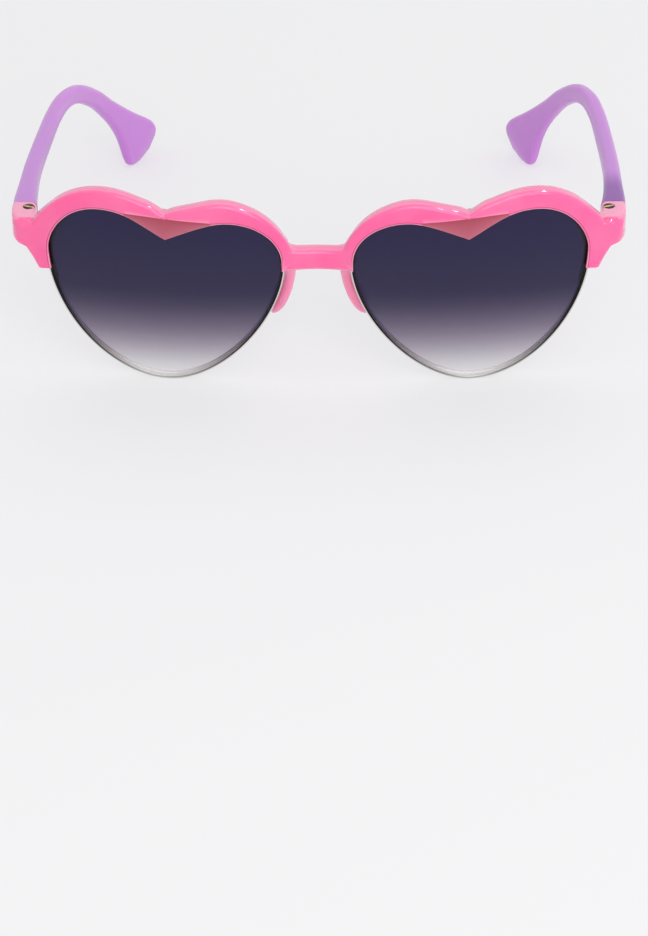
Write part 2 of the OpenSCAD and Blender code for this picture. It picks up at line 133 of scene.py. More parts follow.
class SunglassesHingeSizes(bpy.types.PropertyGroup):
    """End pieces of the front and the pins the temples turn on"""
    out: length("Stand-out", "How far the end pieces stand out beyond the lenses", 9.1)
    width: length("End width", "Width of an end piece", 5.9)
    height: length("End height", "Height of an end piece", 6.3)
    depth: length("End depth", "Length of an end piece, front to back", 9.4)
    joint_y: length("Joint depth", "Butt faces of the temples behind the rim bottom", 7.8)
    joint_z: length("Joint height", "Top of the end pieces above the floor", 43.2)
    pin_in: length("Pin inset", "Pin from the inner side of the end piece", 1.8)
    pin_back: length("Pin setback", "Pin from the butt face, and relief round it", 2.3)
    pin: length("Pin diameter", "Diameter of the hinge screws", 1.6)
    ear: length("Ear", "Plastic above the tongue", 1.85)
    tongue: length("Tongue height", "Height of the tongue of each temple", 2.2)
    tongue_radius: length("Tongue radius", "Round end of the tongue", 1.65)
    wall: length("Side wall", "Plastic outside the tongue", 0.9)


class SunglassesTempleSizes(bpy.types.PropertyGroup):
    """Purple temples that fold on the hinge screws"""
    run: length("Temple length", "From the butt face to the rear end", 113.8)
    inward: length("Inward curl", "How far the rear end curls in", 25)
    thickness: length("Temple thickness", "Thickness behind the joint taper", 3.8)
    edge: length("Temple edge", "Radius of the long edges", 1.5)


class SunglassesRimSizes(bpy.types.PropertyGroup):
    """Bright strips round the lower lens edges, and their screws"""
    wall: length("Rim wall", "Metal outside the lens", 0.3)
    lip: length("Rim lip", "Metal in front of and behind the lens", 0.3)
    screw: length("Rim screw", "Diameter of the rim screws", 0.9)
    eyelet: length("Eyelet", "Radius of the eyelets at the rim ends", 1)
    eyelet_depth: length("Eyelet depth", "Eyelet's front face behind the lens surface", 0.45)
    eyelet_thickness: length("Eyelet thickness", "Thickness of the eyelets", 0.7)


class SunglassesScrewSizes(bpy.types.PropertyGroup):
    """Slotted heads of the rim screws and of the hinge screws"""
    rim_head: length("Rim screw head", "Radius of the heads of the rim screws", 0.65)
    rim_head_height: length("Rim head height", "Height of the heads of the rim screws", 0.6)
    rim_bite: length("Rim screw bite", "How far a rim screw reaches into the front", 0.88)
    rim_slot: length("Rim slot width", "Width of the slot of a rim screw", 0.22)
    hinge_head: length("Hinge screw head", "Radius of the heads of the hinge screws", 1.3)
    hinge_head_height: length("Hinge head height", "Height of the hinge screw heads", 0.7)
    hinge_slot: length("Hinge slot width", "Width of the slot of a hinge screw", 0.6)
    slot_depth: length("Slot depth", "Depth of the screwdriver slots", 0.15)


class SunglassesFinishes(bpy.types.PropertyGroup):
    """Colours of the plastics, the lens tint and the metals, and of the light and shade painted on
    them
    """
    pink: colour("Pink", "Body colour of the front", (1.0, 0.112, 0.35))
    # Pale pink is a painted highlight: light on the upward rounded edges and tops, and light
    # through the thin edges
    pink_pale: colour("Pale pink", "Colour of its thin outer edges", (1.0, 0.40, 0.57))
    pink_veil: colour("Dusky pink", "Colour where the lens lies behind the plastic",
                      (0.40, 0.03, 0.07))
    purple: colour("Purple", "Body colour of the temples", (0.57, 0.235, 0.68))
    purple_rear: colour("Light purple", "Colour of the rear half of the temples",
                        (0.62, 0.245, 0.71))
    # Painted shade on the left temple near its joint
    purple_shade: colour("Deep purple", "Colour of the left temple near its joint",
                        (0.27, 0.075, 0.39))
    tint: colour("Lens tint", "Colour of the dark end of the lenses", (0.012, 0.008, 0.048))
    tint_pale: colour("Pale lens tint", "Colour of the clear end of the lenses", (0.20, 0.15, 0.24))
    steel: colour("Steel", "Bright metal of the rims", (0.77, 0.75, 0.72))
    # Painted shadow line inside the rims: dark high up, grey at the tip
    steel_shade: colour("Dark steel", "Line inside the rims, high up", (0.02, 0.017, 0.016))
    steel_tip_shade: colour("Tip steel", "Line inside the rims, at the tip", (0.46, 0.45, 0.44))
    # Painted glint: brass colour put only in the slots of the hinge screws, where they catch the
    # light
    brass: colour("Brass", "Glint in the slots of the hinge screws", (0.85, 0.70, 0.42))
    floor: colour("Floor", "Colour of the floor and backdrop", (0.86, 0.86, 0.87))


class SunglassesStudio(bpy.types.PropertyGroup):
    """Camera and lights"""
    azimuth: angle("Azimuth", "Camera's turn round the glasses", 1.761)
    elevation: angle("Elevation", "Camera's height over the horizon", 31.294)
    roll: angle("Roll", "Camera's turn about its own axis", -0.865)
    distance: length("Distance", "Camera's distance from the glasses", 965.3)
    aside: length("Aside", "Camera's step to the right", -1.137)
    lower: length("Lower", "Camera's step up in its own frame", -72.135)
    focal: FloatProperty(name="Lens", description="Focal length in millimetres on a 36 mm sensor",
                         default=150)
    world: FloatProperty(name="World light", description="Strength of the even light",
                         default=0.82)
    key: power_of("Key light", "Power of the light over the glasses", 6.5)
    fill: power_of("Fill light", "Power of the light before the glasses", 18)


# Clearances and small places, as on the packed parts
FIT_GAP = 0.05 * MM
POCKET_GAP = 0.12 * MM
TIGHT_GAP = 0.02 * MM
TURN_GAP = 0.05 * MM
SLIDE_GAP = 0.12 * MM
BUTT_GAP = 0.15 * MM
OVER = 1 * MM
INNER_R = 0.3 * MM
DRAFT = 0.5 * MM
# Sides of the narrow rim screw bores and of the wide relief round a temple's knuckle
BORE_SIDES = 32
KNUCKLE_SIDES = 96


# Smooth curve through the rows of a table; the first number of each row is its key
def slope(table, i):
    a = max(i - 1, 0)
    b = min(i + 1, len(table) - 1)
    return (table[b] - table[a]) / (table[b][0] - table[a][0])


def curve(table, key):
    table = np.asarray(table, float)
    i = max([k for k in range(len(table) - 1) if k == 0 or table[k][0] <= key])
    d = table[i + 1][0] - table[i][0]
    t = (key - table[i][0]) / d
    return ((1 + 2 * t) * (1 - t) ** 2 * table[i] + t * (1 - t) ** 2 * d * slope(table, i)
            + t * t * (3 - 2 * t) * table[i + 1] - t * t * (1 - t) * d * slope(table, i + 1))


def ease(t):
    return t * t * (3 - 2 * t)


def unit(a):
    return a / np.linalg.norm(a)


def direction(degrees):
    return np.array([math.cos(math.radians(degrees)), math.sin(math.radians(degrees))])


def arc(centre, radius, start, end, n):
    return [np.array(centre) + radius * direction(start + (end - start) * i / n)
            for i in range(n + 1)]


# Heart outline as six curved sides; place 0 is the notch, 1 the outer lobe, 2 the outer side,
# 3 the tip, 4 the inner side and 5 the inner lobe. Shares are of the lens width and height
NOTCH_SHARE = 0.493
OUTER_LOBE_SHARE = 0.766
OUTER_SIDE_SHARE = 0.747
TIP_SHARE = 0.509
INNER_SIDE_SHARE = 0.733
INNER_LOBE_SHARE = 0.236
HANDLE_SHARES = (0.14, 0.105, 0.16, 0.075, 0.32, 0.25, 0.22, 0.27, 0.12, 0.125, 0.07, 0.1)
# Directions of the outline at the notch, in degrees
NOTCH_RISE = 31.6
NOTCH_FALL = 156
# Sections of the moulding turn upright this near the notch
FAN_REACH = 0.6
# Height of the centre of the lens curve, and half width of the rounded middle of the bridge
WRAP_V_SHARE = 0.43
ROUND_SHARE = 0.9
# Place, and share of the brow height there
BAND_SHARES = ((-1.8, 0.59), (-1.7, 0.56), (-1.5, 0.65), (-1.25, 0.82), (-1, 1.02), (-0.5, 1.13),
               (0, 1.33), (0.5, 1.06), (1, 0.96), (1.25, 0.89), (1.5, 0.88), (1.75, 1.07),
               (2, 1.24), (2.03, 1.06), (2.065, 0.85), (2.106, 0.7))
LUG_TURN = 2.03
LUG_END = 2.106
FAN_START = -1.8
# Place, and share of the moulding's depth there
LUG_DEPTH_SHARES = ((-2, 1), (1.6, 1), (2, 1.42), (2.06, 1.15), (2.11, 1))
# Ends of a rim, its eyelets, and how many steps along it are tried for its lowest point
RIM_FROM = 2.01
RIM_TO = 4.1
OUTER_EYELET = 2.024
INNER_EYELET = 4.08
LOWEST_TRIES = 46


class Form:
    """Places on the glasses, worked out from the sizes in the panel"""

    def __init__(self, scene):
        self.lens = lens = scene.sunglasses_lens
        self.front = front = scene.sunglasses_front
        self.hinge = hinge = scene.sunglasses_hinge
        self.temple = scene.sunglasses_temple
        self.rim = rim = scene.sunglasses_rim
        self.screw = scene.sunglasses_screw
        self.lens_u = lens.gap / 2
        self.seat = lens.bite + FIT_GAP
        self.rim_out = self.seat + rim.wall
        self.tip_v = self.rim_out
        self.wrap_v = WRAP_V_SHARE * lens.height
        self.round_u = ROUND_SHARE * self.lens_u
        self.back = front.depth - front.lip
        self.sides = self.heart_sides()
        self.sag_tip = 0
        self.sag_tip = self.sag(*self.tip)
        self.half = lens.gap / 2 + lens.width + hinge.out
        self.pin_x = self.half - hinge.width + hinge.pin_in
        self.pin_y = hinge.joint_y - hinge.pin_back
        self.shift_y = PIN.y - self.pin_y
        self.shift_z = 0
        low = min(self.lean_z(self.strip_point(RIM_FROM + (RIM_TO - RIM_FROM) * i / LOWEST_TRIES,
                                               self.rim_out, -FIT_GAP - rim.lip))
                  for i in range(LOWEST_TRIES + 1))
        self.shift_z = -low

    def on_lens(self, x, y):
        return np.array([self.lens_u + x * self.lens.width, self.tip_v + y * self.lens.height])

    def heart_sides(self):
        lens = self.lens
        h = np.array(HANDLE_SHARES) * lens.width
        notch = self.on_lens(NOTCH_SHARE, 1 - lens.notch_drop / lens.height)
        outer_lobe = self.on_lens(OUTER_LOBE_SHARE, 1)
        outer = self.on_lens(1, OUTER_SIDE_SHARE)
        tip = self.on_lens(TIP_SHARE, 0)
        inner = self.on_lens(0, INNER_SIDE_SHARE)
        inner_lobe = self.on_lens(INNER_LOBE_SHARE, 1 - lens.lobe_step / lens.height)
        self.notch, self.outer_lobe, self.tip, self.inner_lobe = notch, outer_lobe, tip, inner_lobe
        x, y = np.array([1, 0]), np.array([0, 1])
        return [
            (notch, notch + h[0] * direction(NOTCH_RISE), outer_lobe - h[1] * x, outer_lobe),
            (outer_lobe, outer_lobe + h[2] * x, outer + h[3] * y, outer),
            (outer, outer - h[4] * y, tip + h[5] * x, tip),
            (tip, tip - h[6] * x, inner - h[7] * y, inner),
            (inner, inner + h[8] * y, inner_lobe - h[9] * x, inner_lobe),
            (inner_lobe, inner_lobe + h[10] * x, notch + h[11] * direction(NOTCH_FALL), notch)]

    def side(self, q):
        p = q + 6 if q < 0 else q
        i = min(int(math.floor(p)), 5)
        return self.sides[i], p - i

    def heart(self, q):
        s, t = self.side(q)
        return (s[0] * (1 - t) ** 3 + 3 * s[1] * t * (1 - t) ** 2 + 3 * s[2] * t * t * (1 - t)
                + s[3] * t ** 3)

    def heading(self, q):
        s, t = self.side(q)
        return ((s[1] - s[0]) * (1 - t) ** 2 + 2 * (s[2] - s[1]) * t * (1 - t)
                + (s[3] - s[2]) * t * t)

    def outward(self, q):
        d = self.heading(q)
        square = math.degrees(math.atan2(d[1], d[0])) + 90
        away = min(1, min(abs(q), abs(6 - q)) / FAN_REACH)
        return direction(90 + (square - 90) * ease(away) if away < 1 else square)

    def sag_at(self, u, v):
        r = self.lens.base_radius
        return r - math.sqrt(r * r - (u - self.lens.wrap_u) ** 2 - (v - self.wrap_v) ** 2)

    def sag(self, u, v):
        near = abs(u) < self.round_u
        eased = (u * u + self.round_u ** 2) / (2 * self.round_u) if near else abs(u)
        middle = ease(1 - abs(u) / self.round_u) if near else 0
        return self.sag_at(eased, v) - self.sag_tip + self.front.setback * middle

    def on_front(self, p, w):
        return np.array([p[0], self.sag(p[0], p[1]) + w, p[1]])

    def lean_z(self, p):
        return p[1] * math.sin(self.front.lean) + p[2] * math.cos(self.front.lean)

    def leaned(self, p):
        c, s = math.cos(self.front.lean), math.sin(self.front.lean)
        return (p[0], p[1] * c - p[2] * s + self.shift_y, p[1] * s + p[2] * c + self.shift_z)

    def upright(self, p):
        return (p[0], p[1] + self.shift_y, p[2])

    def strip_point(self, q, s, w):
        return self.on_front(self.heart(q) + s * self.outward(q), w)

    def band(self, q):
        return self.front.brow * curve(BAND_SHARES, q)[1]

    def band_depth(self, q):
        return self.front.depth * curve(LUG_DEPTH_SHARES, q)[1]

    def reach(self, q):
        return self.heart(q) + self.band(q) * self.outward(q)

    def bite(self, q):
        """Depth of lens edge behind the moulding; above the notch the edge runs straight on"""
        if min(abs(q), abs(6 - q)) > 1:
            return self.lens.bite
        p = self.heart(q)
        pitch = self.outer_lobe[0] - self.inner_lobe[0]
        line = (self.notch[1] + self.front.notch_cover
                + (p[0] - self.notch[0]) * self.lens.lobe_step / pitch)
        return max(self.lens.bite, (line - p[1]) / self.outward(q)[1])

    def eyelet(self, q):
        """Matrix of a frame at an eyelet: y runs back through it, square to the leaned front"""
        out = self.rim_out + self.screw.rim_head + SLIDE_GAP
        place = self.on_front(self.heart(q) + out * self.outward(q), 0)
        return (Matrix.Translation((0, self.shift_y, self.shift_z))
                @ Matrix.Rotation(self.front.lean, 4, "X") @ Matrix.Translation(place))


# Mesh helpers
def add_object(name, data):
    made = bpy.data.objects.new(name, data)
    bpy.context.scene.collection.objects.link(made)
    return made


def mesh_object(name, points, faces):
    mesh = bpy.data.meshes.new(name)
    mesh.from_pydata([tuple(p) for p in points], [], faces)
    mesh.update()
    return add_object(name, mesh)


def outward_faces(piece):
    """Turns every face of a closed piece outward"""
    b = bmesh.new()
    b.from_mesh(piece.data)
    bmesh.ops.recalc_face_normals(b, faces=b.faces)
    b.to_mesh(piece.data)
    b.free()
    return piece


def skin(name, rings):
    """Closed skin over rings of equal count"""
    n, m = len(rings[0]), len(rings)
    faces = [(i * n + j, (i + 1) * n + j, (i + 1) * n + (j + 1) % n, i * n + (j + 1) % n)
             for i in range(m - 1) for j in range(n)]
    faces += [tuple(range(n)), tuple((m - 1) * n + j for j in reversed(range(n)))]
    return outward_faces(mesh_object(name, [p for r in rings for p in r], faces))


def rod(name, radius, a, b, matrix, sides=64):
    """Round rod along y from a to b in the frame of the matrix"""
    turns = [2 * math.pi * j / sides for j in range(sides)]
    return skin(name, [[matrix @ Vector((radius * math.cos(t), y, radius * math.sin(t)))
                        for t in turns] for y in (a, b)])


def upright_rod(form, name, radius, low, high, sides=64):
    """Rod round the hinge pin"""
    pin = form.upright((form.pin_x, form.pin_y, 0))
    turn = Matrix.Translation(pin) @ Matrix.Rotation(math.pi / 2, 4, "X")
    return rod(name, radius, low, high, turn, sides)


def block(name, low, high):
    return skin(name, [[(low[0], low[1], z), (high[0], low[1], z), (high[0], high[1], z),
                        (low[0], high[1], z)] for z in (low[2], high[2])])


def rounded_box(centre, a, b, radius, steps=6):
    """Rounded rectangle with half sizes a and b"""
    points = []
    for k, (sx, sy) in enumerate(((1, 1), (-1, 1), (-1, -1), (1, -1))):
        for i in range(steps + 1):
            d = direction(90 * k + 90 * i / steps)
            points.append(centre + (sx * (np.linalg.norm(a) - radius) + radius * d[0]) * unit(a)
                          + (sy * (np.linalg.norm(b) - radius) + radius * d[1]) * unit(b))
    return points


def mirrored(piece):
    """The same piece on the wearer's right"""
    mesh = piece.data.copy()
    mesh.transform(Matrix.Scale(-1, 4, (1, 0, 0)))
    mesh.flip_normals()
    return add_object(piece.name + "_mirrored", mesh)


def evaluated(piece):
    """Replaces a piece's mesh by its mesh with every modifier applied"""
    bpy.context.view_layer.update()
    graph = bpy.context.evaluated_depsgraph_get()
    mesh = bpy.data.meshes.new_from_object(piece.evaluated_get(graph), depsgraph=graph)
    piece.modifiers.clear()
    old = piece.data
    piece.data = mesh
    bpy.data.meshes.remove(old)
    return piece


def combine(piece, others, operation):
    """Joins the others to a closed piece or cuts them from it"""
    for other in others:
        modifier = piece.modifiers.new("combine", "BOOLEAN")
        modifier.operation = operation
        modifier.solver = "EXACT"
        modifier.object = other
        evaluated(piece)
        bpy.data.objects.remove(other)
    return piece


def mark(piece, name, values, kind="FLOAT"):
    """Stores one value a point on a piece"""
    attribute = piece.data.attributes.new(name, kind, "POINT")
    key = "vector" if kind == "FLOAT_VECTOR" else "value"
    attribute.data.foreach_set(key, np.asarray(values, float).ravel())


def smooth(piece, angle=30):
    for polygon in piece.data.polygons:
        polygon.use_smooth = True
    piece.data.set_sharp_from_angle(angle=math.radians(angle))
    return piece


def ready(piece, body, slot, *nodes):
    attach(piece, body)
    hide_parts(*nodes)


def dress(piece, material, body, slot, *nodes):
    piece.data.materials.clear()
    piece.data.materials.append(material)
    ready(piece, body, slot, *nodes)


def dress_pair(left, material, body, slot, part):
    """Dresses a left piece and its mirror image; body and part leave a place for the side"""
    right = mirrored(left)
    right.name = right.data.name = left.name.replace("left", "right")
    for piece, side in ((left, "left"), (right, "right")):
        dress(piece, material, body.format(side), slot, part.format(side))


# Node helpers
def set_inputs(tree, made, inputs):
    """Links each input of a node to a socket, or gives it its value"""
    for key, value in inputs.items():
        if isinstance(value, bpy.types.NodeSocket):
            tree.links.new(value, made.inputs[key])
        else:
            made.inputs[key].default_value = value


def node(tree, kind, inputs=None, **settings):
    made = tree.nodes.new(kind)
    for key, value in settings.items():
        setattr(made, key, value)
    set_inputs(tree, made, inputs or {})
    return made


def out_of(tree, kind, inputs=None, **settings):
    """First output in use of a new node"""
    return next(s for s in node(tree, kind, inputs, **settings).outputs if s.enabled)


def sums(tree, *operations):
    """For each operation, a function that adds its node and gives the result"""
    def function(operation):
        return lambda a, b=0: out_of(tree, "ShaderNodeMath", {0: a, 1: b}, operation=operation)
    return [function(operation) for operation in operations]


def axes(tree, x=0, y=0, z=0):
    return out_of(tree, "ShaderNodeCombineXYZ", {"X": x, "Y": y, "Z": z})


def split(tree, vector):
    return node(tree, "ShaderNodeSeparateXYZ", {"Vector": vector}).outputs


def attribute_of(tree, name, kind="FLOAT"):
    return out_of(tree, "GeometryNodeInputNamedAttribute", {"Name": name}, data_type=kind)


def store(tree, geometry, name, value, domain="POINT"):
    return out_of(tree, "GeometryNodeStoreNamedAttribute", {
        "Geometry": geometry, "Name": name, "Value": value}, data_type="FLOAT", domain=domain)


def geometry_tree(name, **labels):
    """Tree with a mesh going in and out, and its other inputs named under their kind"""
    tree = bpy.data.node_groups.new(name, "GeometryNodeTree")
    ends = [("Geometry", "Geometry", "INPUT")]
    ends += [(label, kind, "INPUT") for kind in labels for label in labels[kind]]
    for label, kind, end in (*ends, ("Geometry", "Geometry", "OUTPUT")):
        tree.interface.new_socket(label, in_out=end, socket_type="NodeSocket" + kind)
    return tree, node(tree, "NodeGroupInput").outputs


def close_tree(tree, geometry, *materials):
    """Ends a tree in real meshes and their materials, each given with its selection"""
    last = out_of(tree, "GeometryNodeRealizeInstances", {"Geometry": geometry})
    for material, selection in materials:
        last = out_of(tree, "GeometryNodeSetMaterial", {
            "Geometry": last, "Material": material, "Selection": selection})
    node(tree, "NodeGroupOutput", {"Geometry": last})


def grown(piece, tree, values):
    """Runs a tree on a piece with its inputs set, and leaves a plain mesh"""
    modifier = piece.modifiers.new(tree.name, "NODES")
    modifier.node_group = tree
    for item in tree.interface.items_tree:
        if item.in_out == "INPUT" and item.name in values:
            modifier[item.identifier] = values[item.name]
    return evaluated(piece)


# Materials; each finish builds its nodes and gives the inputs of the shader
def painted(finish):
    """The material of a finish, made once with the colours in the panel"""
    material = bpy.data.materials.get(finish.__name__)
    if material is None:
        material = bpy.data.materials.new(finish.__name__)
        material.use_nodes = True
        tree = material.node_tree
        inputs = finish(tree, bpy.context.scene.sunglasses_finishes)
        set_inputs(tree, tree.nodes["Principled BSDF"], inputs)
    return material


def ramp(tree, factor, stops, interpolation="EASE"):
    made = node(tree, "ShaderNodeValToRGB", {"Fac": factor})
    made.color_ramp.interpolation = interpolation
    elements = made.color_ramp.elements
    while len(elements) < len(stops):
        elements.new(0.5)
    for element, (place, value) in zip(elements, stops):
        element.position = place
        element.color = (*value, 1)
    return made.outputs["Color"]


def scaled(tree, value, start, end, to_start=0, to_end=1, **settings):
    """Maps a value from one range to another"""
    return out_of(tree, "ShaderNodeMapRange", {
        "Value": value, "From Min": start, "From Max": end, "To Min": to_start,
        "To Max": to_end}, **settings)


def mixed(tree, factor, a, b):
    return out_of(tree, "ShaderNodeMix", {"Factor": factor, "A": a, "B": b}, data_type="RGBA")


def stored(tree, name):
    return node(tree, "ShaderNodeAttribute", attribute_name=name).outputs["Fac"]


def object_place(tree):
    return node(tree, "ShaderNodeTexCoord").outputs["Object"]


def object_noise(tree, scale, detail=2):
    return out_of(tree, "ShaderNodeTexNoise", {
        "Vector": object_place(tree), "Scale": scale, "Detail": detail})


def speckled(tree, scale, detail, dull, bright):
    return ramp(tree, object_noise(tree, scale, detail), ((0.3, dull), (0.7, bright)))


def shade(value, strength):
    return tuple(c * strength for c in value)


def orange_peel(tree):
    """Faintly uneven surface of a moulding"""
    return out_of(tree, "ShaderNodeBump", {
        "Height": object_noise(tree, 350), "Strength": 0.03, "Distance": 0.2 * MM})


def pink_plastic(tree, colours):
    milky = tuple(c + (1 - c) * 0.05 for c in colours.pink)
    cloudy = ramp(tree, object_noise(tree, 60, 3), ((0.35, colours.pink), (0.65, milky)))
    dusky = mixed(tree, stored(tree, "veil"), cloudy, (*colours.pink_veil, 1))
    return {
        # The edge mark paints the pale pink highlight over the body colour
        "Base Color": mixed(tree, stored(tree, "edge"), dusky, (*colours.pink_pale, 1)),
        "Roughness": scaled(tree, object_noise(tree, 180), 0.3, 0.7, 0.16, 0.26),
        "Normal": orange_peel(tree), "IOR": 1.46, "Specular IOR Level": 0.35,
        "Transmission Weight": 0.1, "Subsurface Weight": 0.5,
        "Subsurface Radius": (1, 0.35, 0.5), "Subsurface Scale": 1.5 * MM,
        "Coat Weight": 0.9, "Coat Roughness": 0.05}


def purple_plastic(tree, colours):
    place = split(tree, object_place(tree))
    along = scaled(tree, place["Y"], PIN.y, cad_high.y)
    rest = ((0.35, colours.purple), (0.65, colours.purple_rear))
    right = ramp(tree, along, ((0, colours.purple), *rest))
    # The left temple darkens towards its joint: painted shade
    left = ramp(tree, along, ((0.09, colours.purple_shade), (0.2, colours.purple), *rest))
    body = mixed(tree, scaled(tree, place["X"], -PIN.x, PIN.x), right, left)
    veil = scaled(tree, object_noise(tree, 12, 1), 0, 1, 0.97, 1.03)
    return {
        "Base Color": out_of(tree, "ShaderNodeVectorMath", {0: body, "Scale": veil},
                             operation="SCALE"),
        "Roughness": scaled(tree, object_noise(tree, 30, 1), 0, 1, 0.24, 0.36),
        "Normal": orange_peel(tree), "IOR": 1.46, "Transmission Weight": 0.1,
        "Subsurface Weight": 0.4, "Subsurface Radius": (0.7, 0.4, 1),
        "Subsurface Scale": 2.5 * MM, "Coat Weight": 0.15, "Coat Roughness": 0.12}


def lens_level(tree):
    """Height as a share of the lens height"""
    height = split(tree, object_place(tree))["Z"]
    return scaled(tree, height, 0, bpy.context.scene.sunglasses_lens.height)


# Level up the lens with how much of the light the tint stops there, then the same for the painted
# shadow line along the lens edge, and the colour of that line
LENS_COVER = ((0, 0.03), (0.024, 0.05), (0.05, 0.105), (0.083, 0.16), (0.12, 0.24), (0.155, 0.33),
              (0.2, 0.445), (0.24, 0.54), (0.3, 0.67), (0.36, 0.765), (0.45, 0.84), (0.56, 0.865),
              (0.7, 0.89), (0.9, 0.93), (1, 0.95))
SHADOW_LINE_COVER = ((0.03, (0.1, 0.1, 0.1)), (0.45, (1, 1, 1)))
SHADOW_LINE_BLACK = (0.004, 0.003, 0.005)


def tinted_lens(tree, colours):
    times, most = sums(tree, "MULTIPLY", "MAXIMUM")
    level = lens_level(tree)
    cover = ramp(tree, level, [(p, (a, a, a)) for p, a in LENS_COVER], "LINEAR")
    # Painted shadow along the lens edge, under the lip and in the rim's groove, fading towards the
    # tip
    narrow = scaled(tree, stored(tree, "edge"), 0.1, 0.5, interpolation_type="SMOOTHSTEP")
    line = times(narrow, ramp(tree, level, SHADOW_LINE_COVER, "LINEAR"))
    pale, dark = colours.tint_pale, colours.tint
    body = ramp(tree, level, ((0, pale), (0.13, pale), (0.58, dark), (1, dark)))
    return {
        "Base Color": mixed(tree, line, body, (*SHADOW_LINE_BLACK, 1)), "Alpha": most(cover, line),
        "Roughness": 0.03, "IOR": 1.5, "Specular IOR Level": 0.28}


# Height over which the painted shadow line on the front of a rim darkens, and the groove's colour
# by the lens level: painted light towards the tip, painted shade higher up
LIP_SHADOW_RISE = 14 * MM
GROOVE_LIGHT_AND_SHADE = ((0, (0.9, 0.89, 0.89)), (0.08, (0.95, 0.94, 0.91)), (0.16, (0.98, 0.97, 0.9)),
                 (0.3, (0.95, 0.95, 0.85)), (0.6, (0.5, 0.5, 0.5)))


def bright_steel(tree, colours):
    body = speckled(tree, 900, 2, shade(colours.steel, 0.94), colours.steel)
    height = split(tree, object_place(tree))["Z"]
    tip, groove = colours.steel_tip_shade, stored(tree, "groove")
    shadow_line = ((0, tip), (0.2, shade(tip, 0.6)), (0.6, shade(tip, 0.16)), (1, colours.steel_shade))
    # Painted shadow line on the rim's front lip
    line = ramp(tree, scaled(tree, height, 0, LIP_SHADOW_RISE), shadow_line, "LINEAR")
    # Painted light and shade in the groove: lighter towards the tip, darker higher up
    inside = ramp(tree, lens_level(tree), GROOVE_LIGHT_AND_SHADE, "LINEAR")
    outside = mixed(tree, stored(tree, "lip"), body, line)
    return {
        "Base Color": mixed(tree, groove, outside, inside),
        "Roughness": scaled(tree, groove, 0, 1, 0.26, 0.62), "Metallic": 1}


# Dark screw colour, used for the hinge screw heads and as painted shade in the slots of the rim
# screws
SCREW_DULL = (0.02, 0.012, 0.014)
SCREW_DARK = (0.05, 0.03, 0.03)


def dark_screw_and_slot_shade(tree, colours):
    return {"Base Color": speckled(tree, 1500, 4, SCREW_DULL, SCREW_DARK), "Roughness": 0.3,
            "Metallic": 1}


# Brass with a painted glint: bright only in the slots of the hinge screws
def brass_slot_glint(tree, colours):
    return {"Base Color": speckled(tree, 1500, 4, shade(colours.brass, 0.7), colours.brass),
            "Roughness": 0.45, "Metallic": 0.6}


# Front moulding
EDGE_STEPS = 8
LIP_STEPS = 4
VEIL_EDGE = 0.15 * MM
# Points of a section: how strong the painted highlight is there, light on the rounded edges and
# through the thin plastic, and whether the lens lies behind it
LIP_COUNT = LIP_STEPS + 2
FACE_COUNT = 4
ROUND_COUNT = 2 * EDGE_STEPS + 3
EDGE_HIGHLIGHT = ((0, 0.1, 0.5, 0.7, 0.7, 0.35) + (0,) * FACE_COUNT
        + (0, 0, 0, 0, 0.05, 0.15, 0.3, 0.65, 0.4, 0.25, 0.55) + (0.85,) * EDGE_STEPS + (0,) * 7)
NOTCH_HIGHLIGHT = (0, 0, 0.2, 0.4, 0.4, 0.2, 0, 0.4, 0, 0)
BAR_HIGHLIGHT = (0,) * LIP_COUNT
VEIL = (1,) * (LIP_COUNT + 1) + (0,) * (FACE_COUNT + ROUND_COUNT) + (1,) * 6
LIP_VEIL = (1, 0.6, 0.15, 0, 0, 0)


def edge_section(form, width, depth, bite, front_r):
    """Section of the moulding: s out from the lens edge, w back from the lens surface"""
    f, r, k = form.front.lip, form.front.edge, INNER_R
    t = form.lens.thickness
    veil = [bite, bite + VEIL_EDGE]
    face = (width - front_r - veil[1]) / 3
    back = depth - f
    top = np.array([(width, front_r - f), (width - DRAFT, back - r)])
    return ([np.array((0, -FIT_GAP))] + arc((k, k - f), k, 180, 270, LIP_STEPS)
            + [np.array((a, -f)) for a in (*veil, veil[1] + face, veil[1] + 2 * face)]
            + arc((width - front_r, front_r - f), front_r, -90, 0, EDGE_STEPS)
            + [(top[0] + top[1]) / 2]
            + arc((width - DRAFT - r, back - r), r, 0, 90, EDGE_STEPS)
            + [np.array(p) for p in ((veil[1], back), (veil[0], back), (k, back), (0, back - k),
                                     (0, t + FIT_GAP), (bite, t + FIT_GAP), (bite, -FIT_GAP))])


CORNER_SHARE = 0.3
UNDER_SHARES = (0.4, 0.6, 0.8)


def bar_section(form, width):
    """Section of the bridge bar, rounded on all four edges, with as many points"""
    f, r, k = form.front.lip, form.front.edge, form.back
    low, high, c = r - f, k - r, CORNER_SHARE * r
    under = [np.array((0, low + t * (high - low))) for t in UNDER_SHARES]
    return ([under[0]] + arc((r, low), r, 180, 270, LIP_STEPS)
            + [np.array((a, -f)) for a in np.linspace(r, width - r, FACE_COUNT + 2)[1:-1]]
            + arc((width - r, low), r, -90, 0, EDGE_STEPS)
            + [np.array((width - DRAFT / 2, (low + high) / 2))]
            + arc((width - DRAFT - r, high), r, 0, 90, EDGE_STEPS)
            + [np.array(p) for p in ((2 * r, k), (1.5 * r, k), (r, k), (c, k - c), (0, high))]
            + [under[2], under[1]])


# Rows from the inner lobe round to the bridge bar, and their places on the bar's upper line
FAN_ROWS = 8
FAN_TURN = 0.75
FAN_SHARES = ((0, 0.25, 0.5, 0.75, 1), (0, 0.12, 0.22, 0.32, 0.4))
BAR_ROWS = 8
BRIDGE_TURN_SHARE = 0.74
BRIDGE_TURN_WEIGHT = 2


